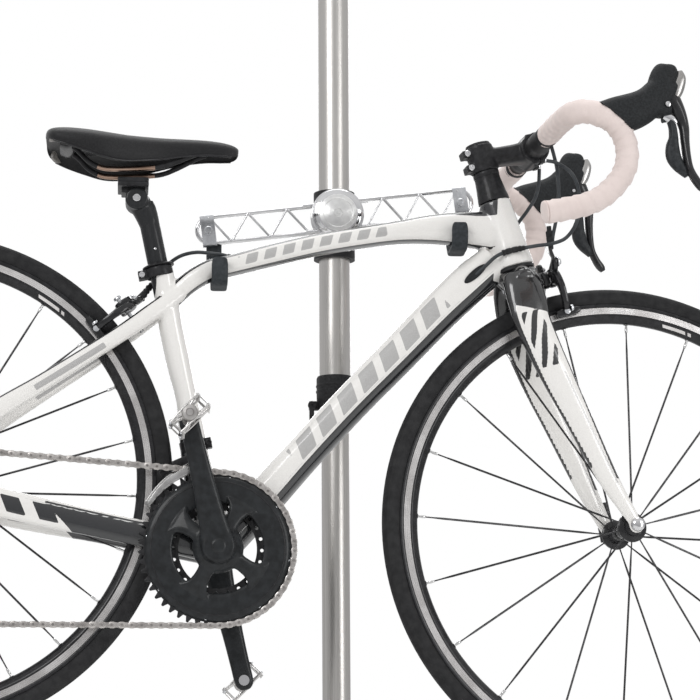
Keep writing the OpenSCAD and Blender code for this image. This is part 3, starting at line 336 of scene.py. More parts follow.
def sweep(line, radius, around=16, caps=True):
    """A round bar along a line. radius is one number, or one for each point and angle."""
    line = [Vector(p[:3]) for p in line]
    rings, up = [], None
    for i, p in enumerate(line):
        t = (line[min(i + 1, len(line) - 1)] - line[max(i - 1, 0)]).normalized()
        if up is None:
            up = t.cross(Vector((0, 1, 0)) if abs(t.y) < 0.9 else Vector((1, 0, 0)))
        up = (up - t * up.dot(t)).normalized()
        across = t.cross(up)
        ring = []
        for k in range(around):
            a = 2 * pi * k / around
            r = radius(i, a) if callable(radius) else radius
            ring.append(p + (up * cos(a) + across * sin(a)) * r)
        rings.append(ring)
    return skin(rings, caps)


for name, body, side, reach, plane in (("left_arm_wire", "left_arm", -1, 203, -45),
                                       ("right_arm_wire", "right_arm", 1, 197, -53)):
    bend = reach - 19.5
    line = [(side * -48, plane, 19.5)] + [(side * (bend * k / 6), plane, 19.5) for k in range(7)]
    line += [(side * (bend + 19.5 * sin(a)), plane,
        19.5 * cos(a)) for a in [pi * k / 16 for k in range(1, 16)]]
    line += [(side * (bend * (6 - k) / 6), plane, -19.5) for k in range(7)] + [(side * -48, plane, -19.5)]
    wires = [sweep(line, 3.0, 20)]
    step = (bend - 42) / 5
    for i in range(5):
        a, b = (19.5 if i % 2 else -19.5), (-19.5 if i % 2 else 19.5)
        for y in (-2.1, 2.1):
            wires.append(sweep([(side * (42 + i * step), plane + y, a),
                (side * (42 + i * step + step), plane + y, b)],
                               1.5, 12))
            wires.append(lathe([(0, -2.2), (2.0, -1.4), (2.4, 0), (2.0, 1.4), (0, 2.2)], 12, "y",
                               at=(side * (42 + i * step + step), plane + y, b * 0.93)))
    add(name, together(*wires), cradle, chrome, body, [body])


def plate(loops, thick, edge=0.4, y=0.0):
    """A plate cut to loops of (x, z) points, the outline first and then its holes. y is its middle."""
    cut = bpy.data.curves.new("cut", "CURVE")
    cut.dimensions, cut.fill_mode = "2D", "BOTH"
    cut.extrude, cut.bevel_depth, cut.bevel_resolution = max(thick / 2 - edge, 0.001), edge, 1
    cut.offset = -edge
    for loop in loops:
        line = cut.splines.new("POLY")
        line.points.add(len(loop) - 1)
        line.use_cyclic_u = True
        for point, (x, z) in zip(line.points, loop):
            point.co = (x, z, 0, 1)
    holder = bpy.data.objects.new("cut", cut)
    mesh = bpy.data.meshes.new_from_object(holder)
    shape = [(v.co.x, y + v.co.z, v.co.y) for v in mesh.vertices], [tuple(p.vertices) for p in mesh.polygons]
    bpy.data.objects.remove(holder)
    bpy.data.curves.remove(cut)
    bpy.data.meshes.remove(mesh)
    return shape


def circle(r, n=40, at=(0, 0), start=0.0):
    return [(at[0] + r * cos(2 * pi * k / n + start),
        at[1] + r * sin(2 * pi * k / n + start)) for k in range(n)]


def bolt_head(r, h, y, at=(0, 0), face=-1, socket=True):
    """A round screw head with a hexagon socket, on the plane y and standing towards face."""
    s = r * 0.55
    line = [(0, 0), (r, 0), (r, face * h * 0.75), (r * 0.86, face * h)]
    if socket:
        line += [(s, face * h), (s * 0.9, face * h * 0.35), (0, face * h * 0.35)]
    else:
        line += [(0, face * h * 1.08)]
    return lathe(line, 24, "y", at=(at[0], y, at[1]))


# Steel clip plates wrap each arm near its end, and a screw through each plate
# holds a hook. The hooks are bent steel strip dipped in matt black vinyl.
zinc = finish("bright_zinc", (0.55, 0.56, 0.58), (0.72, 0.73, 0.75), 0.22, metal=1.0, grain=60, bump=0.1)
vinyl = finish("hook_vinyl", (0.026, 0.030, 0.033), (0.042, 0.047, 0.052), 0.62, grain=220, bump=0.35)
for name, body, side, reach, plane in (("left_clip", "left_arm", -1, 203, -45),
                                       ("right_clip", "right_arm", 1, 197, -53)):
    x, y = side * (reach - 16), plane - 3
    band = [(y + 6.9, 24.2), (y + 6.9, -24.2)]
    turn = ([(y + 3.2 + 3.9 * cos(a), 20.2 + 4.1 * sin(a)) for a in [pi * k / 10 for k in range(11)]]
            + [(y - 0.7, 12), (y - 0.7, -12)]
            + [(y + 3.2 + 3.9 * cos(a), -20.2 + 4.1 * sin(a)) for a in [pi + pi * k / 10 for k in range(11)]])
    strips = []
    for w in (-10, 10):
        strips.append([(x + w, p[0], p[1]) for p in turn])
    inner = [(p[0] + (0.9 if p[0] < y + 3.2 else -0.9), p[1] * 0.965) for p in turn]
    rows = [[(x - 10, p[0], p[1]), (x + 10, p[0], p[1]), (x + 10, q[0], q[1]), (x - 10, q[0], q[1])]
            for p, q in zip(turn, inner)]
    add(name, skin(rows), cradle, zinc, body, [body.replace("arm", "bracket")], bevel=0.2, steps=1)
    add(name + "_screw", together(bolt_head(5.6, 2.6, y - 0.9, (x, 0)), lathe(
        [(6.5, y - 0.7), (8.2, y - 0.7), (8.2, y - 1.6), (6.5, y - 1.6)], 32, "y", loop=True,
        at=(x, 0, 0))),
        cradle, zinc, body)

for name, x, z, back_y, back_z in (("left_hook", -177, 1517.5, -37.4, 1623),
        ("right_hook", 149, 1570.5, -45.4, 1664)):
    up = back_z - z
    line = curve_through([(back_y, up), (back_y, up - 8), (back_y - 3, up - 28), (-84, up - 44), (-186, 34),
                          (-216, 8), (-230, -4.5), (-250, -5), (-270, -4.5), (-279, 4), (-281, 27)], 7)
    line = [p for i, p in enumerate(line) if i == 0 or hypot(p[0] - line[i - 1][0],
        p[1] - line[i - 1][1]) > 0.5]
    rows = []
    for i, p in enumerate(line):
        a, b = line[max(i - 1, 0)], line[min(i + 1, len(line) - 1)]
        d = Vector((b[0] - a[0], b[1] - a[1])).normalized()
        ends = min(i, len(line) - 1 - i) / 3
        half = 11 * min(1.0, 0.72 + 0.28 * sqrt(min(ends, 1.0)))
        row = []
        for k in range(24):
            a = 2 * pi * k / 24
            w = copysign(abs(cos(a)) ** 0.35, cos(a)) * half
            t = copysign(abs(sin(a)) ** 0.5, sin(a)) * 3.9
            row.append((x + w, p[0] - d.y * t, z + p[1] + d.x * t))
        rows.append(row)
    add(name + "_strip", skin(rows), home, vinyl, "left_arm" if x < 0 else "right_arm", [name])


# ---- Frame -------------------------------------------------------------------
# A hollow moulded carbon frame: its tubes flow into each other without joints.
# It is sprayed pearl white and lacquered, with dark and silver-grey painted bands.
bike = Matrix.Translation((-0.179, -0.250, 1.150)) @ Matrix.Rotation(radians(3.8), 4, "Y")
head = bike @ Matrix.Translation((0.5045, 0, 0.0528)) @ Matrix.Rotation(radians(70.9 - 90), 4, "Y")
fork = head @ Matrix.Rotation(radians(8.3), 4, "Z")
seat = bike @ Matrix.Rotation(radians(74.5 - 90), 4, "Y")
rear_axle = bike @ Matrix.Translation((-0.400, 0, 0.0675))
bridge = rear_axle @ Matrix.Rotation(radians(90 - 40.4), 4, "Y") @ Matrix.Rotation(pi, 4, "Z")
bridge = bridge @ Matrix.Translation((0, 0, 0.357))


def loft(stops, steps=6, around=32, corner=2.0):
    """A tube through stops of x, y, z, half height and half width. A corner over 2 squares its section."""
    line = curve_through(stops, steps) if steps > 1 else stops
    mids, rings = [Vector(s[:3]) for s in line], []
    for i, s in enumerate(line):
        t = (mids[min(i + 1, len(line) - 1)] - mids[max(i - 1, 0)]).normalized()
        side = (Vector((0, 1, 0)) - t * t.y).normalized()
        up = t.cross(side)
        rings.append([mids[i] + up * (s[3] * copysign(abs(cos(a)) ** (2 / corner), cos(a)))
                      + side * (s[4] * copysign(abs(sin(a)) ** (2 / corner), sin(a)))
                      for a in [2 * pi * k / around for k in range(around)]])
    return skin(rings)


def fused(shape, cell=2.2, rounds=8):
    """Melts overlapping forms into one moulded skin, in millimetres."""
    mesh = bpy.data.meshes.new("melt")
    mesh.from_pydata([Vector(v) * mm for v in shape[0]], [], shape[1])
    work = bmesh.new()
    work.from_mesh(mesh)
    bmesh.ops.recalc_face_normals(work, faces=work.faces)
    work.to_mesh(mesh)
    work.free()
    holder = bpy.data.objects.new("melt", mesh)
    scene.collection.objects.link(holder)
    melt = holder.modifiers.new("melt", "REMESH")
    melt.mode, melt.voxel_size = "VOXEL", cell * mm
    ease = holder.modifiers.new("ease", "SMOOTH")
    ease.factor, ease.iterations = 0.5, rounds
    bpy.context.view_layer.update()
    done = holder.evaluated_get(bpy.context.evaluated_depsgraph_get()).to_mesh()
    shape = [tuple(c / mm for c in v.co) for v in done.vertices], [tuple(p.vertices) for p in done.polygons]
    holder.to_mesh_clear()
    bpy.data.objects.remove(holder)
    bpy.data.meshes.remove(mesh)
    return shape


tubes = {
    "top": [[-88, 0, 333, 13, 13], [-70, 0, 355, 14, 15], [-52, 0, 371, 14.5, 17], [-30, 0, 384, 14.5, 18],
            [-6, 0, 391, 14, 18.5], [48, 0, 409.5, 14.5, 19], [104, 0, 427.5, 14.5, 19],
            [160, 0, 442, 14.5, 19], [215, 0, 454.5, 15.5, 19],
            [264, 0, 463, 20, 20], [305, 0, 466, 24, 20], [343, 0, 467, 27, 19]],
    "down": [[352, 0, 424, 26, 20], [318, 0, 391, 28, 21], [280, 0, 349, 27, 22], [225, 0, 283, 26, 23],
             [165, 0, 212, 25, 24], [105, 0, 137, 25, 25], [55, 0, 72, 26, 28], [10, 0, 12, 24, 31]],
    "seat": [[-99, 0, 372, 15.7, 15.7], [-85, 0, 308, 16, 15.7], [-69.5, 0, 252, 16, 15.7],
    [-55, 0, 204, 14.5, 15.5],
             [-46, 0, 165, 17, 16], [-34, 0, 112, 20, 18], [-14, 0, 50, 24, 24], [-4, 0, 8, 24, 30]]}
for s, hand in ((-1, "right"), (1, "left")):
    tubes["stay_" + hand] = [
        [-74, s * 6, 348, 11, 8], [-105, s * 13, 319, 12, 9], [-140, s * 22, 288, 11.5, 8],
        [-173, s * 28, 261, 11.5, 7],
        [-245, s * 35, 206, 12, 6.5], [-308, s * 45, 158, 13.5, 7], [-352, s * 57, 113, 12, 6.5],
        [-374, s * 66, 92, 10, 5]]
    tubes["chain_" + hand] = [
        [-12, s * 17, 4, 20, 12], [-60, s * 24, 10, 19, 8], [-110, s * 26.5, 16, 18, 7],
        [-170, s * 31, 24, 18, 7.5],
        [-240, s * 40, 33, 19, 8], [-305, s * 50, 43, 19, 8], [-352, s * 58, 53, 15, 7],
        [-374, s * 66.5, 61, 11, 5]]
parts = [loft(tubes[t], 6, 36, {"top": 2.5, "down": 2.5, "seat": 2.0}.get(t, 2.6)) for t in tubes]
tip = head.copy()
tip.translation /= mm
start = bike.copy()
start.translation /= mm
head_mm, bike_mm = start.inverted() @ tip, start
parts.append(moved(lathe([(29, 386), (28.6, 392), (26, 420), (23.6, 455), (22.2, 480), (22, 482)], 56),
    head_mm))
parts.append(lathe([(22, -34), (22, 34)], 56, "y"))
for s in (-1, 1):
    parts.append(moved(lathe([(14, -3.5), (14, 3.5)], 40, "y"), Matrix.Translation((-400, s * 68.5, 67.5))))
    for x, z, r in ((-371, 93, 9), (-371, 61, 9)):
        parts.append(loft([[-400, s * 68.5, 67.5, 9, 3.5], [x, s * 68.5, z, r, 3.5]], 1, 20, 3))
parts.append(loft([[-406, -68.5, 60, 10, 3.5], [-406, -68.5, 37.5, 9, 3.5], [-406, -68.5, 30, 7, 3.5]], 1,
    20, 3))
bridge_mm = bridge.copy()
bridge_mm.translation /= mm
parts.append(moved(loft([[0, -20, 0, 9, 9], [0, 20, 0, 9, 9]], 1, 20), bike_mm.inverted() @ bridge_mm))
moulded = fused(together(*parts), 2.1, 7)

# Where each point of the skin lies along and across its nearest tube. The
# painted bands are drawn from these, so that they follow the tubes.
points = np.array(moulded[0])
near = np.full(len(points), 1e9)
dark, silver, pin = (np.full(len(points), -9.0) for _ in range(3))
for name, stops in tubes.items():
    line = np.array(curve_through(stops, 12))
    mids = line[:, :3]
    t = np.gradient(mids, axis=0)
    t /= np.linalg.norm(t, axis=1)[:, None]
    length = np.concatenate([[0], np.cumsum(np.linalg.norm(np.diff(mids, axis=0), axis=1))])
    at = np.empty(len(points), int)
    for a in range(0, len(points), 4000):
        at[a:a + 4000] = ((points[a:a + 4000, None] - mids[None]) ** 2).sum(2).argmin(1)
    off = points - mids[at]
    along = length[at] + (off * t[at]).sum(1)
    side = np.array([0, 1.0, 0]) - t * t[:, 1:2]
    side /= np.linalg.norm(side, axis=1)[:, None]
    up = np.cross(t, side)
    up[up[:, 2] < 0] *= -1
    if name == "seat":
        up *= np.sign(up[:, :1] + 1e-9)
    rise, width = (off * up[at]).sum(1), (off * side[at]).sum(1)
    share = np.hypot(rise / line[at, 3], width / line[at, 4])
    over = np.abs((off * t[at]).sum(1)) / 12
    score = share + np.where((at == 0) | (at == len(line) - 1), over, 0)
    tall = line[at, 3]
    if name == "top":
        d = np.maximum(rise - tall + 5.2 + np.clip((along - 405) / 9, 0, 4), -tall + 2.6 - rise)
        slash = np.abs(((along - rise * 0.5) / 26) % 1 - 0.5) * 26 - 5
        s = np.minimum(np.minimum(slash, 6.5 - np.abs(rise)), np.minimum(along - 112, 318 - along))
        p = np.full(len(points), -9.0)
    elif name == "down":
        d = np.maximum(-rise - tall + 15, np.where(along > 440, (along - 470) / 2, -9))
        slash = np.abs(((along + rise * 0.55) / 41) % 1 - 0.5) * 41 - 6.5
        s = np.minimum(np.minimum(slash, 12.5 - np.abs(rise - 6.5)), np.minimum(along - 92, 392 - along))
        p = 0.55 - np.abs(-rise - tall + 17.5)
    elif name == "seat":
        d = np.minimum(-rise - 3 - np.abs(along - 285) * 0.06, 55 - np.abs(along - 285))
        d = np.maximum(d, (along - 352) / 1.0)
        s = np.minimum(rise * -1 + 0.5, 62 - np.abs(along - 285)) - np.maximum(d, 0) * 3
        p = np.full(len(points), -9.0)
    elif name.startswith("stay"):
        d = rise - tall + 3.2
        s = np.minimum(4.0 - np.abs(rise + 2), np.minimum(along - 130, 240 - along))
        p = np.full(len(points), -9.0)
    else:
        front = 205 - along + rise * 1.4
        blocks = np.minimum(np.abs(((along - rise * 0.7) / 44) % 1 - 0.5) * 44 - 9, 330 - along)
        d = np.maximum(np.minimum(front, tall * 0.80 - rise), np.minimum(blocks, 10.5 - np.abs(rise)))
        s = np.full(len(points), -9.0)
        p = np.minimum(0.7 - np.abs(rise - tall * 0.62), 250 - along)
    new = score < near
    for field, value in ((dark, d), (silver, s), (pin, p)):
        field[new] = value[new]
    near[new] = score[new]
dark = np.minimum(dark, np.maximum(349 - points[:, 0], 394 - points[:, 2]) / 2)
dark = np.maximum(dark, 21.5 - np.hypot(points[:, 0], points[:, 2]) + 2.5)

pearl = finish("pearl_lacquer", (0.74, 0.725, 0.70), (0.80, 0.785, 0.76), 0.24, coat=1.0, grain=900,
    bump=0.03,
               depth=0.00005, rough_play=0.04)


def paint_bands(made, bands):
    """Lays painted bands over a finish. Each band is an attribute above 0 inside it, and a colour."""
    n, link = made.node_tree.nodes, made.node_tree.links
    base = n["Principled BSDF"].inputs["Base Color"]
    under = base.links[0].from_socket
    for name, colour in bands:
        field, edge, mix, fleck, tone = (n.new("ShaderNodeAttribute"), n.new("ShaderNodeMapRange"),
                                         n.new("ShaderNodeMix"), n.new("ShaderNodeTexNoise"),
                                         n.new("ShaderNodeValToRGB"))
        field.attribute_name = name
        edge.inputs["From Min"].default_value, edge.inputs["From Max"].default_value = -0.12, 0.12
        mix.data_type = "RGBA"
        fleck.inputs["Scale"].default_value = 700
        tone.color_ramp.elements[0].color = (*[c * 0.8 for c in colour], 1)
        tone.color_ramp.elements[1].color = (*[min(c * 1.2, 1) for c in colour], 1)
        link.new(n["Texture Coordinate"].outputs["Object"], fleck.inputs["Vector"])
        link.new(fleck.outputs["Fac"], tone.inputs["Fac"])
        link.new(field.outputs["Fac"], edge.inputs["Value"])
        link.new(edge.outputs["Result"], mix.inputs["Factor"])
        link.new(under, mix.inputs[6])
        link.new(tone.outputs["Color"], mix.inputs[7])
        under = mix.outputs[2]
    link.new(under, base)


def set_fields(piece, **fields):
    for name, values in fields.items():
        piece.data.attributes.new(name, "FLOAT", "POINT").data.foreach_set("value",
            values.astype(np.float32))


paint_bands(pearl, [("silver_band", (0.40, 0.395, 0.39)), ("dark_band", (0.012, 0.013, 0.015)),
                    ("pin_line", (0.62, 0.62, 0.61))])


def add_skin(name, shape, place, made, body, stands_for=(), slot=None, **fields):
    mesh = bpy.data.meshes.new(name)
    mesh.from_pydata([place @ (Vector(v) * mm) for v in shape[0]], [], shape[1])
    mesh.polygons.foreach_set("use_smooth", [True] * len(mesh.polygons))
    mesh.materials.append(made)
    piece = bpy.data.objects.new(name, mesh)
    scene.collection.objects.link(piece)
    set_fields(piece, **fields)
    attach(piece, body)
    if stands_for:
        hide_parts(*stands_for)
    return piece


add_skin("carbon_frame", moulded, bike, pearl, "frame", ["frame"], dark_band=dark, silver_band=silver,
    pin_line=pin)

# Small fittings bonded or screwed to the frame: the cable ports' rubber
# grommets, a rivet for the bottle cage and the shell's cups.
satin_black = finish("satin_black_alloy", (0.014, 0.014, 0.015), (0.026, 0.026, 0.028), 0.36, coat=0.12,
    grain=160,
                     bump=0.14, depth=0.0001)
rubber = finish("soft_rubber", (0.014, 0.015, 0.016), (0.024, 0.025, 0.027), 0.60, grain=260, bump=0.4)
for s, hand in ((-1, "right"), (1, "left")):
    grommet = [[323.5 + 19 * cos(a) * 0.71 - 5.6 * sin(a) * 0.71, s * 20.6,
                401 + 19 * cos(a) * 0.71 + 5.6 * sin(a) * 0.71] for a in [2 * pi * k / 40 for k in range(40)]]
    mid = Vector((323.5, s * 20.6, 401))
    add("port_" + hand, together(
        skin([[mid + (Vector(p) - mid) * f + Vector((0, s * h, 0)) for p in grommet]
              for f, h in ((1.06, -3.0), (1.02, 1.4), (0.90, 2.1), (0.6, 2.4), (0.2, 2.5))])),
        bike, rubber, "frame")
for z in (118, 186):
    add("bottle_rivet_%d" % z, moved(bolt_head(4.2, 2.6, 0), Matrix.Translation(
        (-15.5 - 0.12 * z + (z > 150) * -2, 0, z)) @ Matrix.Rotation(radians(90), 4, "Z")), bike,
        satin_black, "frame")
for k, (x, z) in enumerate(((132, 203), (170, 246))):
    add("down_tube_rivet_%d" % k, moved(bolt_head(4.2, 2.6, 0),
        Matrix.Translation((x, 0, z)) @ Matrix.Rotation(
        radians(-50), 4, "Y") @ Matrix.Rotation(radians(90), 4, "X")), bike, satin_black, "frame")
for s, hand in ((-1, "right"), (1, "left")):
    cup = [(13.2, s * 34), (20.5, s * 34), (21, s * 35), (21, s * 40.5), (19.5, s * 42), (13.2, s * 42)]
    notch = lathe(cup, 96, "y", loop=True)
    pts = []
    for v in notch[0]:
        r, a = hypot(v[0], v[2]), atan2(v[2], v[0])
        dip = 0.93 if r > 17 and cos(a * 16) > 0.25 else 1.0
        pts.append((v[0] * dip, v[1], v[2] * dip))
    add("bottom_cup_" + hand, (pts, notch[1]), bike, satin_black, "frame")

# The seat clamp: an alloy band with a bolt behind, which grips the post.
add("seat_band", together(
    lathe([(13.75, 380.4), (17.6, 380.4), (18.6, 381.5), (18.6, 393), (17.6, 394.2), (13.75, 394.2)], 64,
    loop=True),
    block((-29, -8, 381.5), (-17, -1.1, 393)), block((-29, 1.1, 381.5), (-17, 8, 393)),
    lathe([(13.75, 394.2), (21.5, 394.6), (21.8, 396.5), (14, 400)], 64, loop=True)),
    seat, satin_black, "frame", ["seat_clamp"], bevel=0.9)
add("seat_band_bolt", together(bolt_head(4.2, 4, -8, (-24, 387)),
    bolt_head(4, 2.5, 8, (-24, 387), 1, False)),
    seat, chrome, "frame")


# ---- Seatpost and saddle -----------------------------------------------------
# A drawn aluminium post with a forged two-bolt head. The saddle is a nylon
# shell under foam and a glued synthetic-leather cover, on two bent rails.
post_black = finish("post_satin", (0.014, 0.015, 0.016), (0.022, 0.023, 0.025), 0.34, coat=0.2, grain=30,
                    stretch=(40, 40, 1), bump=0.08, depth=0.0001)
add("post_tube", lathe([(12, 276), (13.2, 275), (13.6, 276), (13.6, 455), (13.9, 466), (13.2, 478),
    (11, 486),
                        (0, 490)], 64), seat, post_black, "seatpost", ["seatpost"])
post_head = fused(together(
    lathe([(13.6, 440), (13.6, 470), (10, 482)], 40),
    loft([[0, 0, 455, 13.6, 13.6], [-4, 0, 475, 15, 15], [-9, 0, 490, 16, 17]], 5, 32, 2.4),
    moved(lathe([(15.5, -19), (15.5, 19)], 40, "y"), Matrix.Translation((-11, 0, 491)))), 1.6, 6)
add_skin("post_head", post_head, seat, post_black, "seatpost")
add("rail_clamp", together(
    block((-30, -27, 500), (12, 27, 507)), block((-25, -15, 493), (7, 15, 500.5)),
    block((-30, -28, 506), (12, -15.5, 512)), block((-30, 15.5, 506), (12, 28, 512)),
    lathe([(7, 488), (9, 494)], 24, at=(-9, 0, 0))),
    seat @ Matrix.Rotation(radians(12.5), 4, "Y") @ Matrix.Translation((-0.113, 0, -0.0085)),
    satin_black, "seatpost", bevel=1.4)
add("post_bolts", together(bolt_head(5.4, 3.0, -19, (-11, 491)), bolt_head(5.4, 3.0, 19, (-11, 491), 1)),
    seat, chrome, "seatpost")
add("post_mark", bolt_head(1.6, 0.5, -13.4, (0, 418), -1, False), seat, chrome, "seatpost")

rail_black = finish("rail_black", (0.016, 0.016, 0.017), (0.026, 0.026, 0.028), 0.35, grain=120, bump=0.1)
rail_bronze = finish("rail_bronze", (0.30, 0.20, 0.15), (0.42, 0.30, 0.24), 0.32, metal=1.0, grain=30,
    bump=0.1)
route = [[-236, 20, 536], [-224, 21, 527], [-212, 22, 516], [-200, 22, 509.5], [-186, 22, 506.5],
    [-160, 22, 508],
         [-125, 22, 512.5], [-108, 21.5, 516.5], [-92, 19, 524], [-76, 16, 533], [-62, 12, 540.5],
         [-52, 10, 544]]
for s, hand in ((-1, "right"), (1, "left")):
    line = curve_through([[p[0], s * p[1], p[2]] for p in route], 5)
    add("rail_" + hand, sweep(line, 3.5, 16), bike, rail_black, "seatpost",
        ["saddle_rails"] if s < 0 else ())
    bare = [p for p in line if -200 < p[0] < -118]
    add("rail_bare_" + hand, sweep(bare, 3.62, 16), bike, rail_bronze, "seatpost")

# Each stop: x, half width, top, crown over the edge, and how deep the side skirt hangs.
saddle_stops = [[-270, 34, 549, 3, 6], [-267, 52, 553, 6, 12], [-258, 64, 556, 8, 18],
    [-240, 69.5, 557.5, 9, 24],
                [-215, 71, 557, 9, 30], [-190, 67, 556, 9, 35], [-165, 56, 556, 9, 36],
                [-140, 42, 557.5, 9, 32],
                [-112, 30, 559, 8.5, 27], [-85, 24, 560.5, 8, 22], [-55, 20.5, 561.5, 7.5, 18],
                [-32, 18, 560.5, 7, 16], [-18, 14.5, 558, 6, 14], [-11, 9, 555, 4, 10],
                [-8.5, 3, 552.5, 2, 5]]
cover_rings = []
for x, w, top, crown, skirt in curve_through(saddle_stops, 4):
    half = [(0, top), (0.28, top - crown * 0.06), (0.55, top - crown * 0.26), (0.78, top - crown * 0.68),
            (0.92, top - crown * 1.25), (0.985, top - crown * 1.25 - skirt * 0.28),
            (1.0, top - crown - skirt * 0.62),
            (0.965, top - crown - skirt * 0.93), (0.925, top - crown - skirt)]
    under = [(0.90, top - crown - skirt + 1.5), (0.86, top - crown - skirt * 0.7),
        (0.72, top - crown - skirt * 0.35),
             (0.4, top - crown - 5.5), (0, top - crown - 4.5)]
    channel = max(0.0, 1 - abs(x + 140) / 105) * 2.2
    row = [(x, f * w, z - channel * max(0, 1 - (f / 0.22) ** 2)) for f, z in half] + [(x, f * w, z) for f,
        z in under]
    cover_rings.append(row + [(p[0], -p[1], p[2]) for p in row[-2:0:-1]])
cover = finish("saddle_leatherette", (0.010, 0.010, 0.011), (0.017, 0.017, 0.018), 0.42, grain=500,
    bump=0.5,
               depth=0.00025, sheen=0.15)
seat_cover = add("saddle_cover", skin(cover_rings), bike, cover, "seatpost", ["saddle"], crease=60)
round_off = seat_cover.modifiers.new("soften", "SUBSURF")
round_off.levels = round_off.render_levels = 1
shell_gloss = finish("saddle_shell", (0.012, 0.012, 0.013), (0.020, 0.020, 0.022), 0.25, coat=0.3, grain=80,
    bump=0.1)
seam = []
for s in (-1, 1):
    line = [[x, s * w * 0.935, top - crown - skirt + 0.5, 0] for x, w, top, crown, skirt in
            curve_through(saddle_stops[2:13], 4)]
    seam.append(sweep(line, 1.5, 10))
add("saddle_piping", together(*seam), bike, shell_gloss, "seatpost")
add("saddle_shell_base", together(
    loft([[-250, 0, 540, 3.5, 46], [-228, 0, 539, 4, 50], [-200, 0, 540, 3, 34], [-150, 0, 543, 2.5, 20],
          [-95, 0, 546, 3, 14], [-60, 0, 546, 6, 14], [-46, 0, 547, 5, 12]], 5, 28, 3),
    loft([[-250, 0, 536, 5, 28], [-241, 0, 535, 7, 34], [-232, 0, 537, 5, 30]], 4, 24, 3)),
    bike, shell_gloss, "seatpost", crease=50)
tail_plate = finish("tail_plate", (0.16, 0.15, 0.14), (0.24, 0.225, 0.21), 0.4, grain=140, bump=0.2)
for s, hand in ((-1, "right"), (1, "left")):
    add("tail_badge_" + hand, loft([[-262, s * 40, 538, 6, 2], [-257, s * 56, 537, 8, 3],
        [-247, s * 64, 536, 5, 2]],
                                   4, 18, 3), bike, tail_plate, "seatpost")


# ---- Fork and headset --------------------------------------------------------
# A one-piece carbon fork: a black lacquered crown that swells under the head
# tube, and two white bladed legs with dark edges, which end in alloy tips.
blades = {}
for s, hand in ((-1, "right"), (1, "left")):
    blades[hand] = [[-2, s * 21, 372, 24, 13], [-4, s * 27, 352, 27, 14], [-6, s * 32, 325, 27.5, 12.5],
                    [-8, s * 35, 300, 26, 11], [0, s * 39, 235, 23.5, 10], [12, s * 42, 164, 19.5, 9],
                    [27, s * 46, 75, 14.5, 8.5], [38, s * 51, 28, 10.5, 6.8], [43, s * 54, 8, 9, 4.5]]
crown = [lathe([(18, 352), (28.4, 372), (29.2, 378.6), (28.6, 379.7)], 48),
         loft([[0, -34, 356, 14, 18], [0, -16, 363, 15, 24], [0, 16, 363, 15, 24], [0, 34, 356, 14, 18]], 5,
         28, 2.3)]
legs = [loft(b, 6, 32, 2.3) for b in blades.values()]
tips = []
for s in (-1, 1):
    tips += [moved(lathe([(10.5, -3.4), (10.5, 3.4)], 36, "y"), Matrix.Translation((45, s * 53.5, 0))),
             loft([[41, s * 53.5, 20, 8, 3.4], [45, s * 53.5, 0, 9, 3.4]], 1, 20, 3)]
shape = fused(together(*crown, *legs, *tips), 1.9, 6)
points = np.array(shape[0])
gap = (np.hypot(points[:, 0] - 45, points[:, 2]) < 341) & (np.abs(points[:, 1]) < 19)
points[gap, 2] = np.maximum(points[gap, 2], np.sqrt(np.maximum(341 ** 2 - (points[gap, 0] - 45) ** 2, 0)))
near = np.full(len(points), 1e9)
dark, silver = np.full(len(points), -9.0), np.full(len(points), -9.0)
for stops in blades.values():
    line = np.array(curve_through(stops, 12))
    at = np.concatenate([((points[a:a + 4000, None] - line[None, :, :3]) ** 2).sum(2).argmin(1)
                         for a in range(0, len(points), 4000)])
    ahead = points[:, 0] - line[at, 0]
    tall, z = line[at, 3], points[:, 2]
    top_line = z - 327 + 0.55 * ahead + 10 * np.sin((z - 300) / 22)
    lead = ahead - tall + 5.2 + np.clip((z - 120) / 70, -3, 1.2) * -1.0 + np.where(z < 66, -6, 0)
    trail = -ahead - tall + 2.2 + np.clip((z - 205) / 28, 0, 8) - np.where(z < 90, 3, 0)
    swirl = np.minimum(np.minimum(z - 236, 316 - z),
                       3.2 - np.abs(((ahead * 0.9 - z * 0.42) / 15) % 1 - 0.5) * 11
                       - np.abs(ahead + 2) * 0.09)
    swirl = np.minimum(swirl, 15 - np.abs(ahead + 1))
    d = np.maximum.reduce([top_line, lead, trail, swirl])
    s = np.minimum(1.4 - np.abs(ahead - tall * 0.42), np.minimum(z - 60, 225 - z))
    score = (points[:, 1] - line[at, 1]) ** 2
    new = score < near
    dark[new], silver[new], near[new] = d[new], s[new], score[new]
fork_paint = finish("fork_lacquer", (0.74, 0.725, 0.70), (0.80, 0.785, 0.76), 0.22, coat=1.0, grain=900,
    bump=0.03,
                    depth=0.00005, rough_play=0.04)
paint_bands(fork_paint, [("silver_band", (0.46, 0.455, 0.45)), ("dark_band", (0.012, 0.012, 0.013))])
add_skin("carbon_fork", ([tuple(p) for p in points], shape[1]), fork, fork_paint, "fork", ["fork"],
    dark_band=dark,
         silver_band=silver)
add("headset_cover", together(
    lathe([(14.4, 482.5), (21.9, 482.4), (21.7, 486), (19.6, 500), (18.0, 512), (17.7, 518), (14.4, 518)],
    72, loop=True),
    lathe([(14.4, 518.3), (17.9, 518.3), (18.3, 519), (18.3, 524.4), (17.9, 525), (14.4, 525)], 72,
    loop=True),
    lathe([(14.4, 380.2), (27.6, 380.2), (28.4, 381.2), (28.4, 384.6), (27.6, 385.5), (14.4, 385.5)], 72,
    loop=True)),
    fork, satin_black, "fork", ["headset"])


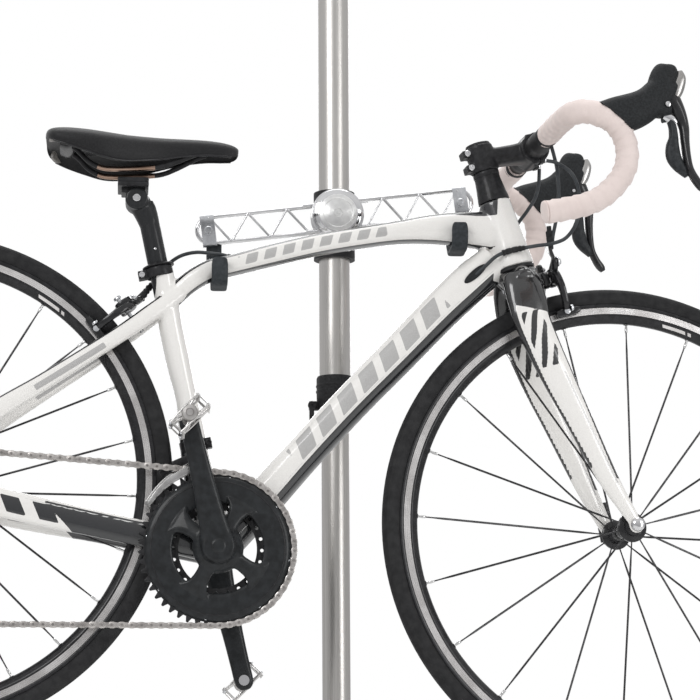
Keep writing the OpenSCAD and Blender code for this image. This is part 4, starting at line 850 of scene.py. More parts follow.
# ---- Stem and handlebar ------------------------------------------------------
# A forged and bead-blasted black alloy stem clamps the bar with a four-bolt
# faceplate. The bar is bent alloy tube under wrapped cork-and-gel tape.
stem_body = fused(together(
    lathe([(19.0, 525.4), (19.6, 527), (19.6, 561.5), (18.8, 563)], 48),
    loft([[4, 0, 544, 13.5, 15], [22, 0, 543, 13, 15.5], [46, 0, 541.5, 13.5, 17], [60, 0, 540.5, 15, 21]],
    5, 36, 3.2),
    moved(lathe([(20.2, -22), (20.4, -20), (20.4, 20), (20.2, 22)], 48, "y"),
    Matrix.Translation((73, 0, 540))),
    block((-27, -11, 529), (-14, 11, 539)), block((-27, -11, 549.5), (-14, 11, 559.5)),
    block((64, -21, 518.5), (75, 21, 527)), block((64, -21, 553), (75, 21, 561.5))), 1.5, 5)
keep_points = [(min(v[0], 74.2), v[1], v[2]) for v in stem_body[0]]
add_skin("stem_body", (keep_points, stem_body[1]), fork, satin_black, "fork", ["stem"])
face = fused(together(
    moved(lathe([(20.4, -21.5), (20.6, -19), (20.6, 19), (20.4, 21.5)], 48, "y"),
    Matrix.Translation((73, 0, 540))),
    block((73, -20.5, 517.5), (82, -8, 526)), block((73, 8, 517.5), (82, 20.5, 526)),
    block((73, -20.5, 554), (82, -8, 562.5)), block((73, 8, 554), (82, 20.5, 562.5))), 1.4, 4)
face = ([(max(v[0], 75.0), v[1], v[2]) for v in face[0]], face[1])
add_skin("faceplate", face, fork, satin_black, "fork", ["stem_faceplate"])
bolts = []
for y in (-14.5, 14.5):
    for z in (521.5, 558.5):
        bolts.append(moved(bolt_head(4, 3.4, 0),
            Matrix.Translation((82, y, z)) @ Matrix.Rotation(pi / 2, 4, "Z")))
for z, s in ((534, -1), (554.5, -1)):
    bolts.append(moved(bolt_head(4.4, 2.6, -11), Matrix.Translation((-21, 0, z))))
    bolts.append(moved(bolt_head(4.0, 1.5, 11, (0, 0), 1, False), Matrix.Translation((-21, 0, z))))
add("stem_bolts", together(*bolts), fork, chrome, "fork")
add("top_cap", lathe([(0, 566.6), (4.2, 566.6), (4.6, 563.8), (6, 563.8), (6.2, 566.8), (13, 567.4),
    (16.6, 566.2),
                      (17.8, 564), (17.8, 563.2), (0, 563.2)], 56), fork, satin_black, "fork")


def bar_half(s):
    return [[73, 0, 540], [73, s * 40, 540], [73, s * 90, 540], [72, s * 150, 539], [75, s * 184, 537],
            [93, s * 199, 530], [115, s * 204, 512], [125, s * 205, 486], [121, s * 206, 458],
            [104, s * 207, 434],
            [76, s * 208, 416], [48, s * 209, 409], [18, s * 210, 408], [-11, s * 210, 410]]


def even(line, step):
    """The same line with points a fixed distance apart."""
    line = np.array([p[:3] for p in line], float)
    run = np.concatenate([[0], np.cumsum(np.linalg.norm(np.diff(line, axis=0), axis=1))])
    marks = np.linspace(0, run[-1], int(run[-1] / step) + 1)
    return np.stack([np.interp(marks, run, line[:, c]) for c in range(3)], 1), marks


bar_black = finish("bar_black", (0.016, 0.016, 0.017), (0.026, 0.026, 0.027), 0.40, grain=70, bump=0.12)
tape = finish("cork_tape", (0.67, 0.575, 0.545), (0.71, 0.615, 0.585), 0.72, grain=24, bump=0.5,
    depth=0.0003, sheen=0.2)
n, link = tape.node_tree.nodes, tape.node_tree.links
speck = n.new("ShaderNodeTexVoronoi")
speck_tone, speck_mix = n.new("ShaderNodeMapRange"), n.new("ShaderNodeMix")
speck.inputs["Scale"].default_value = 620
speck_tone.inputs["From Min"].default_value, speck_tone.inputs["From Max"].default_value = 0.05, 0.32
speck_tone.inputs["To Min"].default_value, speck_tone.inputs["To Max"].default_value = 0.90, 1.0
speck_mix.data_type, speck_mix.blend_type = "RGBA", "MULTIPLY"
speck_mix.inputs["Factor"].default_value = 1.0
base = n["Principled BSDF"].inputs["Base Color"]
link.new(n["Texture Coordinate"].outputs["Object"], speck.inputs["Vector"])
link.new(speck.outputs["Distance"], speck_tone.inputs["Value"])
link.new(base.links[0].from_socket, speck_mix.inputs[6])
link.new(speck_tone.outputs["Result"], speck_mix.inputs[7])
link.new(speck_mix.outputs[2], base)
for s, hand in ((-1, "right"), (1, "left")):
    whole, marks = even(curve_through(bar_half(s), 8), 2.5)
    fat = [15.9 if m < 44 else 15.9 - 4.0 * min((m - 44) / 18, 1) for m in marks]
    add("bar_" + hand, sweep(whole, lambda i, a: fat[i], 32), fork, bar_black, "fork",
        ["handlebar"] if s < 0 else ())
    first = int(np.searchsorted(marks, 66))
    wrapped, run = whole[first:], marks[first:] - marks[first]
    pitch = 16.5

    def wound(i, a, run=run, s=s):
        turn = (run[i] / pitch + s * a / (2 * pi) + 0.13 * sin(run[i] / 31)) % 1.0
        lap = 1.7 * turn if turn < 0.93 else 1.7 * 0.93 * (1 - turn) / 0.07
        fade = min(run[i] / 6, 1)
        return 14.3 + lap * fade + 0.22 * sin(3 * a + run[i] / 9) + (0.7 if 118 < run[i] < 165 else 0)
    add("tape_" + hand, sweep(wrapped, wound, 56), fork, tape, "fork", ["bar_tape"] if s < 0 else (),
        crease=70)
    band, _ = even(wrapped[:6], 1.0)
    add("tape_end_band_" + hand, sweep(band, 15.3, 40), fork, rubber, "fork", bevel=0.5)
    end, back = Vector(wrapped[-1]), (Vector(wrapped[-1]) - Vector(wrapped[-3])).normalized()
    add("bar_plug_" + hand, sweep([end - back * 2, end + back * 1.2, end + back * 2.6, end + back * 3.4],
                                  lambda i, a: (12, 15.0, 14.4, 11)[i], 40), fork, tape, "fork", crease=80)


# ---- Brake and shift levers --------------------------------------------------
# Moulded rubber hoods cover resin brackets clamped to the bar. Painted alloy
# brake levers hang in them on steel pins, with a shift paddle behind each.
hood_grip = finish("hood_rubber", (0.013, 0.014, 0.015), (0.024, 0.026, 0.028), 0.58, grain=420, bump=0.55,
                   depth=0.0003)
lever_black = finish("lever_black", (0.012, 0.012, 0.013), (0.022, 0.022, 0.024), 0.22, coat=0.5, grain=90,
    bump=0.06)
paddle_grey = finish("paddle_resin", (0.020, 0.022, 0.024), (0.036, 0.039, 0.042), 0.40, grain=170,
    bump=0.25)
nose_metal = finish("nose_plate", (0.34, 0.33, 0.32), (0.46, 0.45, 0.44), 0.24, metal=1.0, grain=45,
    bump=0.08)
for s, hand in ((-1, "right"), (1, "left")):
    hood = fused(together(
        loft([[104, s * 205, 516, 23, 14], [124, s * 205, 517, 24.5, 16], [142, s * 205, 517, 25, 16.5],
              [160, s * 204.5, 520, 23.5, 16], [176, s * 204, 526, 21.5, 15.5],
              [190, s * 203.5, 533, 21.5, 15],
              [203, s * 203, 540, 19, 14], [213, s * 203, 546, 15, 12.5]], 5, 32, 2.5),
        loft([[192, s * 203, 540, 16, 14], [203, s * 203, 551, 19, 14], [212, s * 203, 560, 18, 12.5],
              [217, s * 203, 565, 12, 10], [219, s * 203, 568.5, 6, 7]], 5, 28, 2.2),
        loft([[178, s * 204, 515, 11, 13], [190, s * 204, 511, 11, 13], [199, s * 204, 510, 9, 12]], 4, 28,
        2.6)),
        1.6, 7)
    pts = []
    bar_line = np.array([p[:3] for p in curve_through(bar_half(s), 6)])
    for v in hood[0]:
        p = np.array(v)
        back = min((p[0] - 103) * 0.835 + (p[2] - 539) * 0.55, 0)
        p -= back * np.array([0.835, 0, 0.55])
        d = p - bar_line[np.linalg.norm(bar_line - p, axis=1).argmin()]
        clear = 16.4 ** 2 - d[0] ** 2 - d[2] ** 2
        if p[0] < 146 and clear > 0 and abs(d[1]) < sqrt(clear):
            p[1] += copysign(sqrt(clear), d[1]) - d[1]
        pts.append(tuple(p))
    add_skin("hood_" + hand, (pts, hood[1]), fork, hood_grip, "fork", ["brake_hoods"] if s < 0 else ())
    add("nose_plate_" + hand, loft(
        [[228, s * 203, 557, 4, 8], [226.5, s * 203, 548, 7.5, 10], [221, s * 203, 539, 9, 10.5],
         [214, s * 203, 530, 9, 10.5], [208, s * 203, 523, 6.5, 9]], 6, 32, 2.8), fork, nose_metal,
         hand + "_lever")
    lever = loft([[206, s * 203.5, 528, 10, 9.5], [207.5, s * 203.5, 518, 11.5, 9.8],
        [211, s * 204, 502, 9, 8.6],
                  [211, s * 204.5, 482, 7, 7.8], [206, s * 206, 462, 5.8, 7.8],
                  [201.5, s * 207.5, 442, 5.2, 8.2],
                  [199.5, s * 209, 424, 5.0, 8.0], [202.5, s * 210.5, 408, 5.4, 7.2],
                  [207, s * 211.5, 397, 5.8, 6.2],
                  [209, s * 212, 391, 3.5, 4.0]], 7, 30, 2.3)
    add("lever_" + hand, lever, fork, lever_black, hand + "_lever", [hand + "_lever"])
    add("lever_pin_" + hand, together(
        moved(bolt_head(3.6, 0.9, s * 218.2 if s > 0 else -219.2, (0, 0), s),
        Matrix.Translation((193, 0, 514))),
        lathe([(2.4, 190 * s), (2.4, 218.8 * s)], 24, "y", at=(193, 0, 514))), fork, chrome, "fork")
    add("paddle_" + hand, together(
        loft([[195, s * 204, 499, 5, 6], [196, s * 204, 487, 5, 6.5], [193, s * 204, 472, 6, 7],
              [187.5, s * 204, 459, 9, 7.4], [185, s * 204, 446, 10, 7.6],
              [187.5, s * 204.5, 434, 8.5, 7.4],
              [192, s * 205, 423, 5.5, 6.6], [194, s * 205.5, 416, 3, 4]], 6, 26, 2.6),
        lathe([(3.2, 184), (3.2, 199)], 20, "x", at=(0, s * 204, 497))),
        fork, paddle_grey, hand + "_paddle", [hand + "_paddle"])
    add("paddle_root_" + hand, loft([[188, s * 204, 503, 6, 6], [197, s * 204, 496, 6.5, 6.5],
        [201, s * 204, 489, 4, 6]],
                                    4, 20, 2.6), fork, chrome, hand + "_lever")


# ---- Wheels ------------------------------------------------------------------
# Extruded alloy rims, anodised black with a machined silver braking track.
# Bladed steel spokes with brass nipples lace them to turned hubs. The tyres
# are black road clinchers with a fine file tread on their shoulders.
tyre_rubber = finish("tyre_rubber", (0.016, 0.016, 0.017), (0.026, 0.026, 0.027), 0.66, grain=90, bump=0.3)
n, link = tyre_rubber.node_tree.nodes, tyre_rubber.node_tree.links
tread, tread_bump = n.new("ShaderNodeTexVoronoi"), n.new("ShaderNodeBump")
tread.inputs["Scale"].default_value = 480
tread_bump.inputs["Strength"].default_value, tread_bump.inputs["Distance"].default_value = 0.35, 0.0003
link.new(n["Texture Coordinate"].outputs["Object"], tread.inputs["Vector"])
link.new(tread.outputs["Distance"], tread_bump.inputs["Height"])
link.new(n["Bump"].outputs[0], tread_bump.inputs["Normal"])
link.new(tread_bump.outputs[0], n["Principled BSDF"].inputs["Normal"])
rim_black = finish("rim_anodised", (0.010, 0.010, 0.011), (0.020, 0.020, 0.022), 0.28, coat=0.35, grain=120,
    bump=0.06)
track = finish("machined_track", (0.52, 0.50, 0.49), (0.74, 0.72, 0.71), 0.26, metal=0.85, grain=26,
    bump=0.2)
spoke_black = finish("spoke_steel", (0.030, 0.030, 0.031), (0.060, 0.060, 0.062), 0.24, metal=0.7, grain=90,
    bump=0.05)
nipple_metal = finish("nipple_nickel", (0.50, 0.50, 0.50), (0.66, 0.66, 0.66), 0.22, metal=1.0, grain=90,
    bump=0.08)
front_axle = fork @ Matrix.Translation((0.045, 0, 0))

tyre_line = [(313.6, 8.6), (315.5, 10.6), (319, 12.0), (323.5, 12.5), (327.6, 11.9), (329.0, 11.3),
    (329.3, 11.3),
             (331.2, 9.8), (331.5, 9.75), (333.6, 7.4), (335.0, 4.6), (335.2, 4.5), (335.8, 2.0), (336, 0)]
tyre_loop = tyre_line + [(r, -h) for r, h in tyre_line[-2::-1]] + [(316, -6), (325, -7.5), (330, 0),
    (325, 7.5), (316, 6)]
rim_loop = [(288, 0), (288.3, 2.6), (290, 4.6), (296.4, 9.4), (298.6, 9.95), (299.2, 9.8), (299.7, 9.95),
    (308.6, 9.95),
            (309.2, 9.7), (309.8, 10.0), (313.4, 10.0), (314, 9.4), (314, 8.4), (309, 8.0), (309, 0)]
rim_loop = rim_loop + [(r, -h) for r, h in rim_loop[-2:0:-1]]
for end, body, place, count in (("front", "front_wheel", front_axle, 20),
        ("rear", "rear_wheel", rear_axle, 24)):
    add(end + "_tyre_skin", lathe(tyre_loop, 180, "y", loop=True), place, tyre_rubber, body,
        [end + "_tyre"])
    add(end + "_rim_body", lathe(rim_loop, 180, "y", loop=True), place, rim_black, body, [end + "_rim"])
    add(end + "_brake_track", together(*[lathe([(299.8, s * 9.9), (300, s * 10.12), (308.4, s * 10.12),
        (308.6, s * 9.9)], 180, "y", loop=True) for s in (-1, 1)]), place, track, body)
    add(end + "_track_lines", together(*[lathe([(r, s * 10.1), (r + 0.12, s * 10.22), (r + 0.45, s * 10.22),
        (r + 0.57, s * 10.1)], 180, "y", loop=True) for s in (-1, 1) for r in (301.6, 304.0, 306.4)]),
        place,
        nipple_metal, body)
    add(end + "_valve", moved(together(
        lathe([(3.1, 256), (3.1, 290)], 20, "x"),
        lathe([(3.6, 250), (3.9, 252), (3.9, 258), (3.2, 259), (3.2, 262)], 20, "x"),
        lathe([(5, 284), (5, 287.6)], 6, "x")),
        Matrix.Rotation(radians(27 if end == "front" else 217.5), 4, "Y")),
        place, rim_black, body, bevel=0.3)
    wires, nipples = [], []
    for i in range(count):
        a = 2 * pi * i / count
        if end == "front":
            y, hub_a, r = (34 if i % 2 else -34), a, 16.5
        else:
            lean = 1 if (i // 2) % 2 else -1
            y, hub_a, r = (36 if i % 2 else -19) + 3 * lean, a + radians(62) * lean, 19
        foot, top = Vector((r * cos(hub_a), y, r * sin(hub_a))), Vector((288.6 * cos(a), 0, 288.6 * sin(a)))
        d = (top - foot).normalized()
        across = d.cross(Vector((0, 1, 0))).normalized()
        rows = []
        for f, w, t in ((0, 1.0, 1.0), (0.05, 1.0, 1.0), (0.12, 1.45, 0.6), (0.86, 1.45, 0.6),
                (0.92, 1.0, 1.0), (1, 1.0, 1.0)):
            p, flat = foot.lerp(top, f), across.cross(d).normalized()
            rows.append([p + across * w * cos(b) + flat * t * sin(b)
                         for b in [2 * pi * k / 10 for k in range(10)]])
        wires.append(skin(rows))
        head_y = 1 if y > 0 else -1
        wires.append(lathe([(0, -1.5), (1.9, -1.2), (1.9, 1.2), (0, 1.5)], 12, "y",
                           at=(foot.x, foot.y + head_y * 1.3, foot.z)))
        base_p = top - d * 12.5
        rows = []
        for f, w in ((0, 1.5), (0.06, 1.95), (0.5, 2.0), (0.55, 1.7), (1.0, 1.8)):
            p = base_p.lerp(top, f)
            flat = across.cross(d).normalized()
            rows.append([p + across * w * cos(b) + flat * w * sin(b)
                         for b in [2 * pi * k / 12 for k in range(12)]])
        nipples.append(skin(rows))
    add(end + "_spoke_set", together(*wires), place, spoke_black, body, [end + "_spokes"])
    add(end + "_nipples", together(*nipples), place, nipple_metal, body)
    eyelets = [moved(lathe([(2.1, 287.7), (3.6, 287.6), (3.8, 288.6), (2.1, 288.8)], 20, "x", loop=True),
                     Matrix.Rotation(-2 * pi * i / count, 4, "Y")) for i in range(count)]
    add(end + "_eyelets", together(*eyelets), place, rim_black, body)
    flash = []
    for k, (a0, wide) in enumerate(((118, 5.0), (122.4, 2.2), (125.3, 1.0), (298, 5.0), (302.4, 2.2),
            (305.3, 1.0))):
        for s in (-1, 1):
            rows = []
            for j in range(9):
                a = radians(-(a0 + wide * j / 8))
                rows.append([(r * cos(a + (r - 293) * 0.0022), s * (h + 0.12),
                    r * sin(a + (r - 293) * 0.0022))
                             for r, h in ((291.6, 5.8), (293.4, 7.15), (295.2, 8.5))])
            verts, faces = [p for row in rows for p in row], []
            for j in range(8):
                for q in range(2):
                    faces.append((j * 3 + q, j * 3 + q + 1, j * 3 + q + 4, j * 3 + q + 3))
            flash.append((verts, faces))
    add(end + "_rim_flash", together(*flash), place, track, body)
hub_black = finish("hub_black", (0.012, 0.012, 0.013), (0.022, 0.022, 0.024), 0.20, coat=0.4, grain=60,
    bump=0.06)
add("front_hub_shell", together(
    lathe([(2.7, -49.6), (7.4, -49.6), (7.6, -44), (11.5, -42.5), (12.5, -38), (19.2, -36.4), (20, -35.6),
    (20, -32.6),
           (19.2, -31.8), (13, -30), (10.6, -20), (10.2, 0), (10.6, 20), (13, 30), (19.2, 31.8), (20, 32.6),
           (20, 35.6),
           (19.2, 36.4), (12.5, 38), (11.5, 42.5), (7.6, 44), (7.4, 49.6), (2.7, 49.6)], 72, "y",
           loop=True),
    *[lathe([(11.2, s * 6), (11.6, s * 6.6), (11.6, s * 8.6), (11.2, s * 9.2)], 64, "y",
    loop=True) for s in (-1, 1)]),
    front_axle, hub_black, "front_wheel", ["front_hub"])
add("rear_hub_shell", together(
    lathe([(2.7, -64.6), (8, -64.6), (8, -60), (13.9, -59.5), (13.9, -24), (20.4, -23.6), (22, -22.6),
    (22, -16.4),
           (20.6, -15), (14.6, -12), (13, 0), (14.4, 26), (20.6, 32), (22, 33.2), (22, 39.2), (20.6, 40.4),
           (14, 42.5),
           (12, 52), (8, 53), (8, 64.6), (2.7, 64.6)], 72, "y", loop=True)), rear_axle, hub_black,
           "rear_wheel",
    ["rear_hub"])
steel_cogs = finish("sprocket_steel", (0.44, 0.43, 0.42), (0.62, 0.61, 0.60), 0.28, metal=1.0, grain=50,
    bump=0.12)
dress("cassette", steel_cogs)
add("sprocket_lockring", lathe([(12.5, -64.6), (17.4, -64.6), (17.4, -62.8), (12.5, -62.8)], 24, "y",
    loop=True),
    rear_axle, satin_black, "cassette", bevel=0.4)

# Quick-release skewers: a steel rod with a knurled nut on the right and a cam
# lever on the left, which clamp each hub in its tips.
for end, place, half, angle, body, lever_body in (
        ("front", front_axle, 50, -85, "fork", "front_quick_lever"),
        ("rear", rear_axle, 65, -40, "frame", "rear_quick_lever")):
    turn = place @ Matrix.Rotation(radians(angle), 4, "Y")
    rod = lathe([(2.5, -half - 14), (2.5, half + 8)], 20, "y")
    nut = lathe([(0, -half - 16.4), (4, -half - 16.4), (6.6, -half - 15.6), (8.6, -half - 13.5),
        (9.0, -half - 9),
                 (9.0, -half - 7.4), (0, -half - 7.4)], 48, "y")
    nut = ([(v[0] * (1 + 0.03 * (k % 2)), v[1], v[2] * (1 + 0.03 * (k % 2))) for k, v in enumerate(nut[0])],
        nut[1])
    cam = lathe([(0, half + 7.2), (9, half + 7.2), (9.4, half + 8.2), (9.4, half + 17.4), (8.2, half + 19),
        (0, half + 19)],
                48, "y")
    add(end + "_skewer_rod", together(rod, nut, cam), turn, chrome, body, [end + "_skewer"])
    add(end + "_cam_lever", together(
        moved(lathe([(1.95, -12.2), (1.95, 12.2)], 24, "z"), Matrix.Translation((0, half + 13, 0))),
        block((-4, half + 10, 9.7), (15, half + 16, 12.1)),
        block((-4, half + 10, -12.1), (15, half + 16, -9.7)),
        block((12, half + 10, -12.1), (17.5, half + 16, 12.1)),
        block((15, half + 10.2, -8), (34, half + 15.2, 8)),
        block((33, half + 10.0, -6.5), (50, half + 14.4, 6.5))),
        turn, hub_black, lever_body, [lever_body], bevel=1.6, steps=3)


# ---- Rim brakes --------------------------------------------------------------
# Dual-pivot calipers: two forged black arms on one bolt, with rubber pads in
# alloy shoes, a cable anchor, a centring screw and a rubber-booted adjuster.
forged = finish("forged_black", (0.011, 0.011, 0.012), (0.020, 0.020, 0.022), 0.22, coat=0.5, grain=110,
    bump=0.08)
pad_rubber = finish("pad_rubber", (0.018, 0.018, 0.019), (0.030, 0.030, 0.032), 0.7, grain=200, bump=0.3)
crown_bolt = fork @ Matrix.Translation((0, 0, 0.357))


def across_wheel(shape):
    """Turns a plate drawn in x, z with thickness y to stand across the wheel."""
    return [(v[1], v[0], v[2]) for v in shape[0]], shape[1]


for end, place, x0, back in (("front", crown_bolt, 34, 24), ("rear", bridge, 20, 12)):
    for s, hand in ((1, "left"), (-1, "right")):
        x = x0 if s > 0 else x0 + 10
        line = curve_through([(-9, 8), (-4, 14), (8, 15.5), (20, 12), (29, 3), (34.5, -12), (34.5, -26),
            (31.5, -40),
                              (25, -50.5), (19.5, -52), (18.5, -46), (22.5, -38), (25.5, -26), (24, -16),
                              (18, -8.5),
                              (9, -6.5), (0, -9.5), (-7, -7), (-9.5, 0), (-9, 8)], 5)
        arm = plate([[(s * p[0], p[1]) for p in line[:-1]], circle(3.1, 24)], 9, 2.0, x + 4.5)
        extra = []
        if s < 0:
            extra.append(across_wheel(plate([[(s * p[0], p[1]) for p in curve_through(
                [(-6, 10), (6, 15), (22, 22), (31, 26), (36, 23), (35, 16), (29, 9), (17, 5), (4, 2),
                (-6, 3), (-6, 10)],
                4)[:-1]]], 6.5, 1.6, x + 4.2)))
        else:
            extra.append(across_wheel(plate([[(p[0], p[1]) for p in curve_through(
                [(14, 10), (17, 20), (11, 27), (4, 26), (1, 20), (4, 12), (14, 10)], 5)[:-1]]], 7, 1.6,
                x + 4.5)))
        shoe = loft([[x - 9.5, s * 19.3, -50.2, 4.2, 3.0], [x + 2, s * 19.3, -50.2, 5.0, 3.4],
                     [x + 17, s * 19.3, -50.2, 5.0, 3.4], [x + 24, s * 19.3, -50.2, 3.4, 3.0]], 3, 20, 3.2)
        name = end + "_brake_" + hand
        add(end + "_caliper_" + hand, together(across_wheel(arm), *extra, shoe), place, forged, name,
            [name])
        pad = loft([[x - 8.5, s * 14.4, -50.4, 4.6, 2.2], [x + 22, s * 14.4, -50.4, 4.6, 2.2]], 1, 16, 4)
        add(end + "_pad_" + hand, pad, place, pad_rubber, name)
        screws = [lathe([(0, x + 13.2 - 4), (4.4, x + 9.2), (4.4, x + 11.5), (3.8, x + 12.6),
            (2.2, x + 12.6),
                         (2.0, x + 10.4), (0, x + 10.4)], 24, "x", at=(0, s * 27.5, -47)),
                  lathe([(0, s * 22), (3.6, s * 22), (4.2, s * 24), (4.2, s * 27), (0, s * 27.4)], 20, "y",
                        at=(x + 4, 0, -50))]
        if s > 0:
            screws += [lathe([(0, x + 23), (5.6, x + 23), (5.6, x + 26), (4.9, x + 27), (3, x + 27),
                (2.8, x + 24.5),
                              (0, x + 24.5)], 6 * 5, "x"),
                       lathe([(2.9, -back), (2.9, x + 23)], 20, "x"),
                       lathe([(6.5, -2), (8.5, -2), (8.5, 2), (6.5, 2)], 24, "x", loop=True, at=(2, 0, 0)),
                       lathe([(0, x + 10), (3, x + 10), (3, x + 12), (0, x + 12)], 6, "x", at=(0, 8, 19))]
        else:
            screws += [lathe([(0, x + 8), (5.2, x + 8), (5.2, x + 11), (4.2, x + 12.4), (2.6, x + 12.4),
                (2.4, x + 10),
                              (0, x + 10)], 24, "x", at=(0, -31, 19)),
                       lathe([(0, x + 7.4), (7.2, x + 7.4), (7.2, x + 8.6), (0, x + 8.6)], 28, "x",
                       at=(0, -31, 19))]
        add(end + "_caliper_screws_" + hand, together(*screws), place, zinc, name, crease=50)
    cam = x0 + 10
    add(end + "_release_lever", loft([[cam + 4, -32, 22, 2.6, 3.6], [cam + 5, -27, 31, 2.4, 3.4],
        [cam + 6, -24, 39, 2.2, 3.0]], 5, 20, 2.6), place, forged, end + "_brake_right")
    add(end + "_brake_wire", sweep([(cam + 4.5, -29.5, 21), (cam + 2, -25, 33),
        (cam, -22.5, 44)] if end == "front" else
        [(cam + 4.5, -29.5, 21), (cam + 2, -20, 28), (cam - 2, -10, 33)], 0.8, 8), place, zinc,
        end + "_brake_right")
add("front_adjuster", together(
    lathe([(0, 0), (3.2, 0), (3.6, 1.5), (3.6, 8), (5.0, 9), (5.2, 16), (4.8, 17), (5.2, 18), (5.2, 24),
    (4.2, 25.5),
           (3.4, 26), (3.2, 32), (0, 32)], 16)), fork @ Matrix.Translation((0.052, -0.022, 0.396))
    @ Matrix.Rotation(radians(7), 4, "X") @ Matrix.Rotation(radians(9), 4, "Y"), rubber, "front_brake_left",
    crease=25)


# ---- Cranks and chainrings ---------------------------------------------------
# Hollow-forged black alloy arms on a steel axle. Four wide spider arms carry a
# stiff dished outer ring and a flat inner ring, both with machined steel teeth.
crank = bike @ Matrix.Rotation(radians(-107.3), 4, "Y")
crank_black = finish("crank_satin", (0.013, 0.014, 0.015), (0.022, 0.024, 0.026), 0.34, coat=0.15, grain=95,
    bump=0.12,
                     depth=0.0001)


def tooth_line(count, peak, root):
    r, out = 12.7 / 2 / sin(pi / count), []
    for i in range(count):
        for f, h in ((-0.5, root), (-0.34, root), (-0.25, root * 0.35), (-0.13, peak * 0.8), (-0.05, peak),
                     (0.05, peak), (0.13, peak * 0.8), (0.25, root * 0.35), (0.34, root)):
            a = 2 * pi * (i + f) / count
            out.append(((r + h) * cos(a), (r + h) * sin(a)))
    return out


arms_at = (42, 138, 222, 318)
big_r, small_r = 12.7 / 2 / sin(pi / 50), 12.7 / 2 / sin(pi / 34)
add("outer_ring_teeth", plate([tooth_line(50, 3.4, -3.6), circle(big_r - 15, 120)], 2.0, 0.35, -42), crank,
    satin_black,
    "crank", ["chainrings"])
flange_ring = [(big_r - 5.2, -43.3), (big_r - 6.2, -45.6), (big_r - 9, -47.3), (big_r - 14, -48.6),
    (72, -49.4),
                 (66, -49.8), (61.5, -49.4), (60, -48), (60, -46.2), (66, -45.6), (78, -44.6),
                 (big_r - 10, -43.2)]
add("outer_ring_dish", lathe(flange_ring, 180, "y", loop=True), crank, crank_black, "crank")
add("outer_ring_groove", together(
    lathe([(big_r - 12.4, -48.4), (big_r - 12.8, -48.8), (big_r - 13.6, -48.9), (big_r - 14, -48.5)], 180,
    "y", loop=True)),
    crank, satin_black, "crank")
add("inner_ring_teeth", plate([tooth_line(34, 3.2, -3.6)] + [circle(small_r - 17, 90)] + [
    circle(2.3, 16, ((small_r - 10.4) * cos(radians(a)), (small_r - 10.4) * sin(radians(a))))
    for a in range(0, 360, 15) if min(abs((a - b + 180) % 360 - 180) for b in arms_at) > 10], 2.2, 0.35,
    -35),
    crank, satin_black, "crank")
pins = []
for k in range(8):
    a = radians(22 + 45 * k)
    pins.append(bolt_head(1.9, 0.6, -45.5 + 0.3, ((big_r - 7.6) * cos(a), (big_r - 7.6) * sin(a)), -1,
        False))
add("shift_pins", together(*pins), crank, zinc, "crank")


def arm_stops(y, dish):
    """Half height is across the arm and half width is its thickness."""
    return [[-17, y, 0, 12, 5.5], [-8, y, 0, 19.5, 7.0], [6, y, 0, 21.5, 7.6],
        [24, y - dish * 1.0, 0, 19.5, 7.6],
            [45, y - dish * 2.0, 0, 17.6, 7.4], [80, y - dish * 2.4, 0, 15.4, 7.0],
            [120, y - dish * 2.2, 0, 13.8, 6.8],
            [150, y - dish * 1.4, 0, 13.2, 6.6], [170, y, 0, 13.0, 6.4], [178, y, 0, 10.6, 6.2],
            [183, y, 0, 5, 5]]


def across_arm(stops, steps=6, around=36, corner=3.0):
    """A loft along x whose stops give the width in z and the thickness in y."""
    rings = []
    for x, y, z, tall, thick in curve_through(stops, steps):
        rings.append([(x, y + thick * copysign(abs(sin(a)) ** (2 / corner), sin(a)),
                       z + tall * copysign(abs(cos(a)) ** (2 / corner), cos(a)))
                      for a in [2 * pi * k / around for k in range(around)]])
    return skin(rings)


spider = []
for a in arms_at:
    stops = [[8, -57.5, 0, 15, 6.5], [26, -56.5, 0, 11.5, 6], [40, -54.2, 0, 10.5, 5.2],
        [52, -51.8, 0, 12.5, 4.6],
             [61, -50.2, 0, 18, 3.4], [67, -49.2, 0, 24, 2.0]]
    spider.append(moved(across_arm(stops, 5, 28, 2.6), Matrix.Rotation(radians(-a), 4, "Y")))
right_arm = fused(together(across_arm(arm_stops(-69.5, 0.6)), *spider,
    lathe([(9, -50), (34, -51), (34, -55), (30, -62), (24, -68), (21, -76), (19.5, -77), (9, -77)], 56, "y",
    loop=True),
    lathe([(60, -45.9), (72, -45.9), (72, -49.3), (60, -49.3)], 120, "y", loop=True)), 1.8, 5)
add_skin("crank_right", right_arm, crank, crank_black, "crank", ["right_crank"])
add("crank_axle", lathe([(8.2, -76), (12, -76), (12, 76), (8.2, 76)], 56, "y", loop=True), crank, zinc,
    "crank")
add("axle_cap", lathe([(0, -78.6), (6, -78.6), (9, -78.0), (10.4, -76.6), (10.4, -75), (0, -75)], 40, "y"),
    crank,
    crank_black, "crank")
ring_bolts = []
for a in arms_at:
    p = (59 * cos(radians(a)), 59 * sin(radians(a)))
    ring_bolts.append(lathe([(0, -34), (5, -34), (5, -33), (4.4, -31.8), (2.6, -31.8), (2.4, -33.4),
        (0, -33.4)], 24, "y",
                            at=(p[0], 0, p[1])))
    ring_bolts.append(lathe([(4, -46), (4, -34)], 20, "y", at=(p[0], 0, p[1])))
add("ring_bolts", together(*ring_bolts), crank, zinc, "crank")
left = crank @ Matrix.Rotation(pi, 4, "Y")
left_arm = fused(together(across_arm(arm_stops(69.5, -0.6)),
    lathe([(12.2, 62), (21, 62), (21.6, 64), (20.8, 76), (19.6, 77), (12.2, 77)], 56, "y", loop=True),
    block((-24, 63.5, -13), (-12, 75.5, -2)), block((-24, 63.5, 2), (-12, 75.5, 13))), 1.8, 5)
add_skin("crank_left", left_arm, left, crank_black, "crank", ["left_crank"])
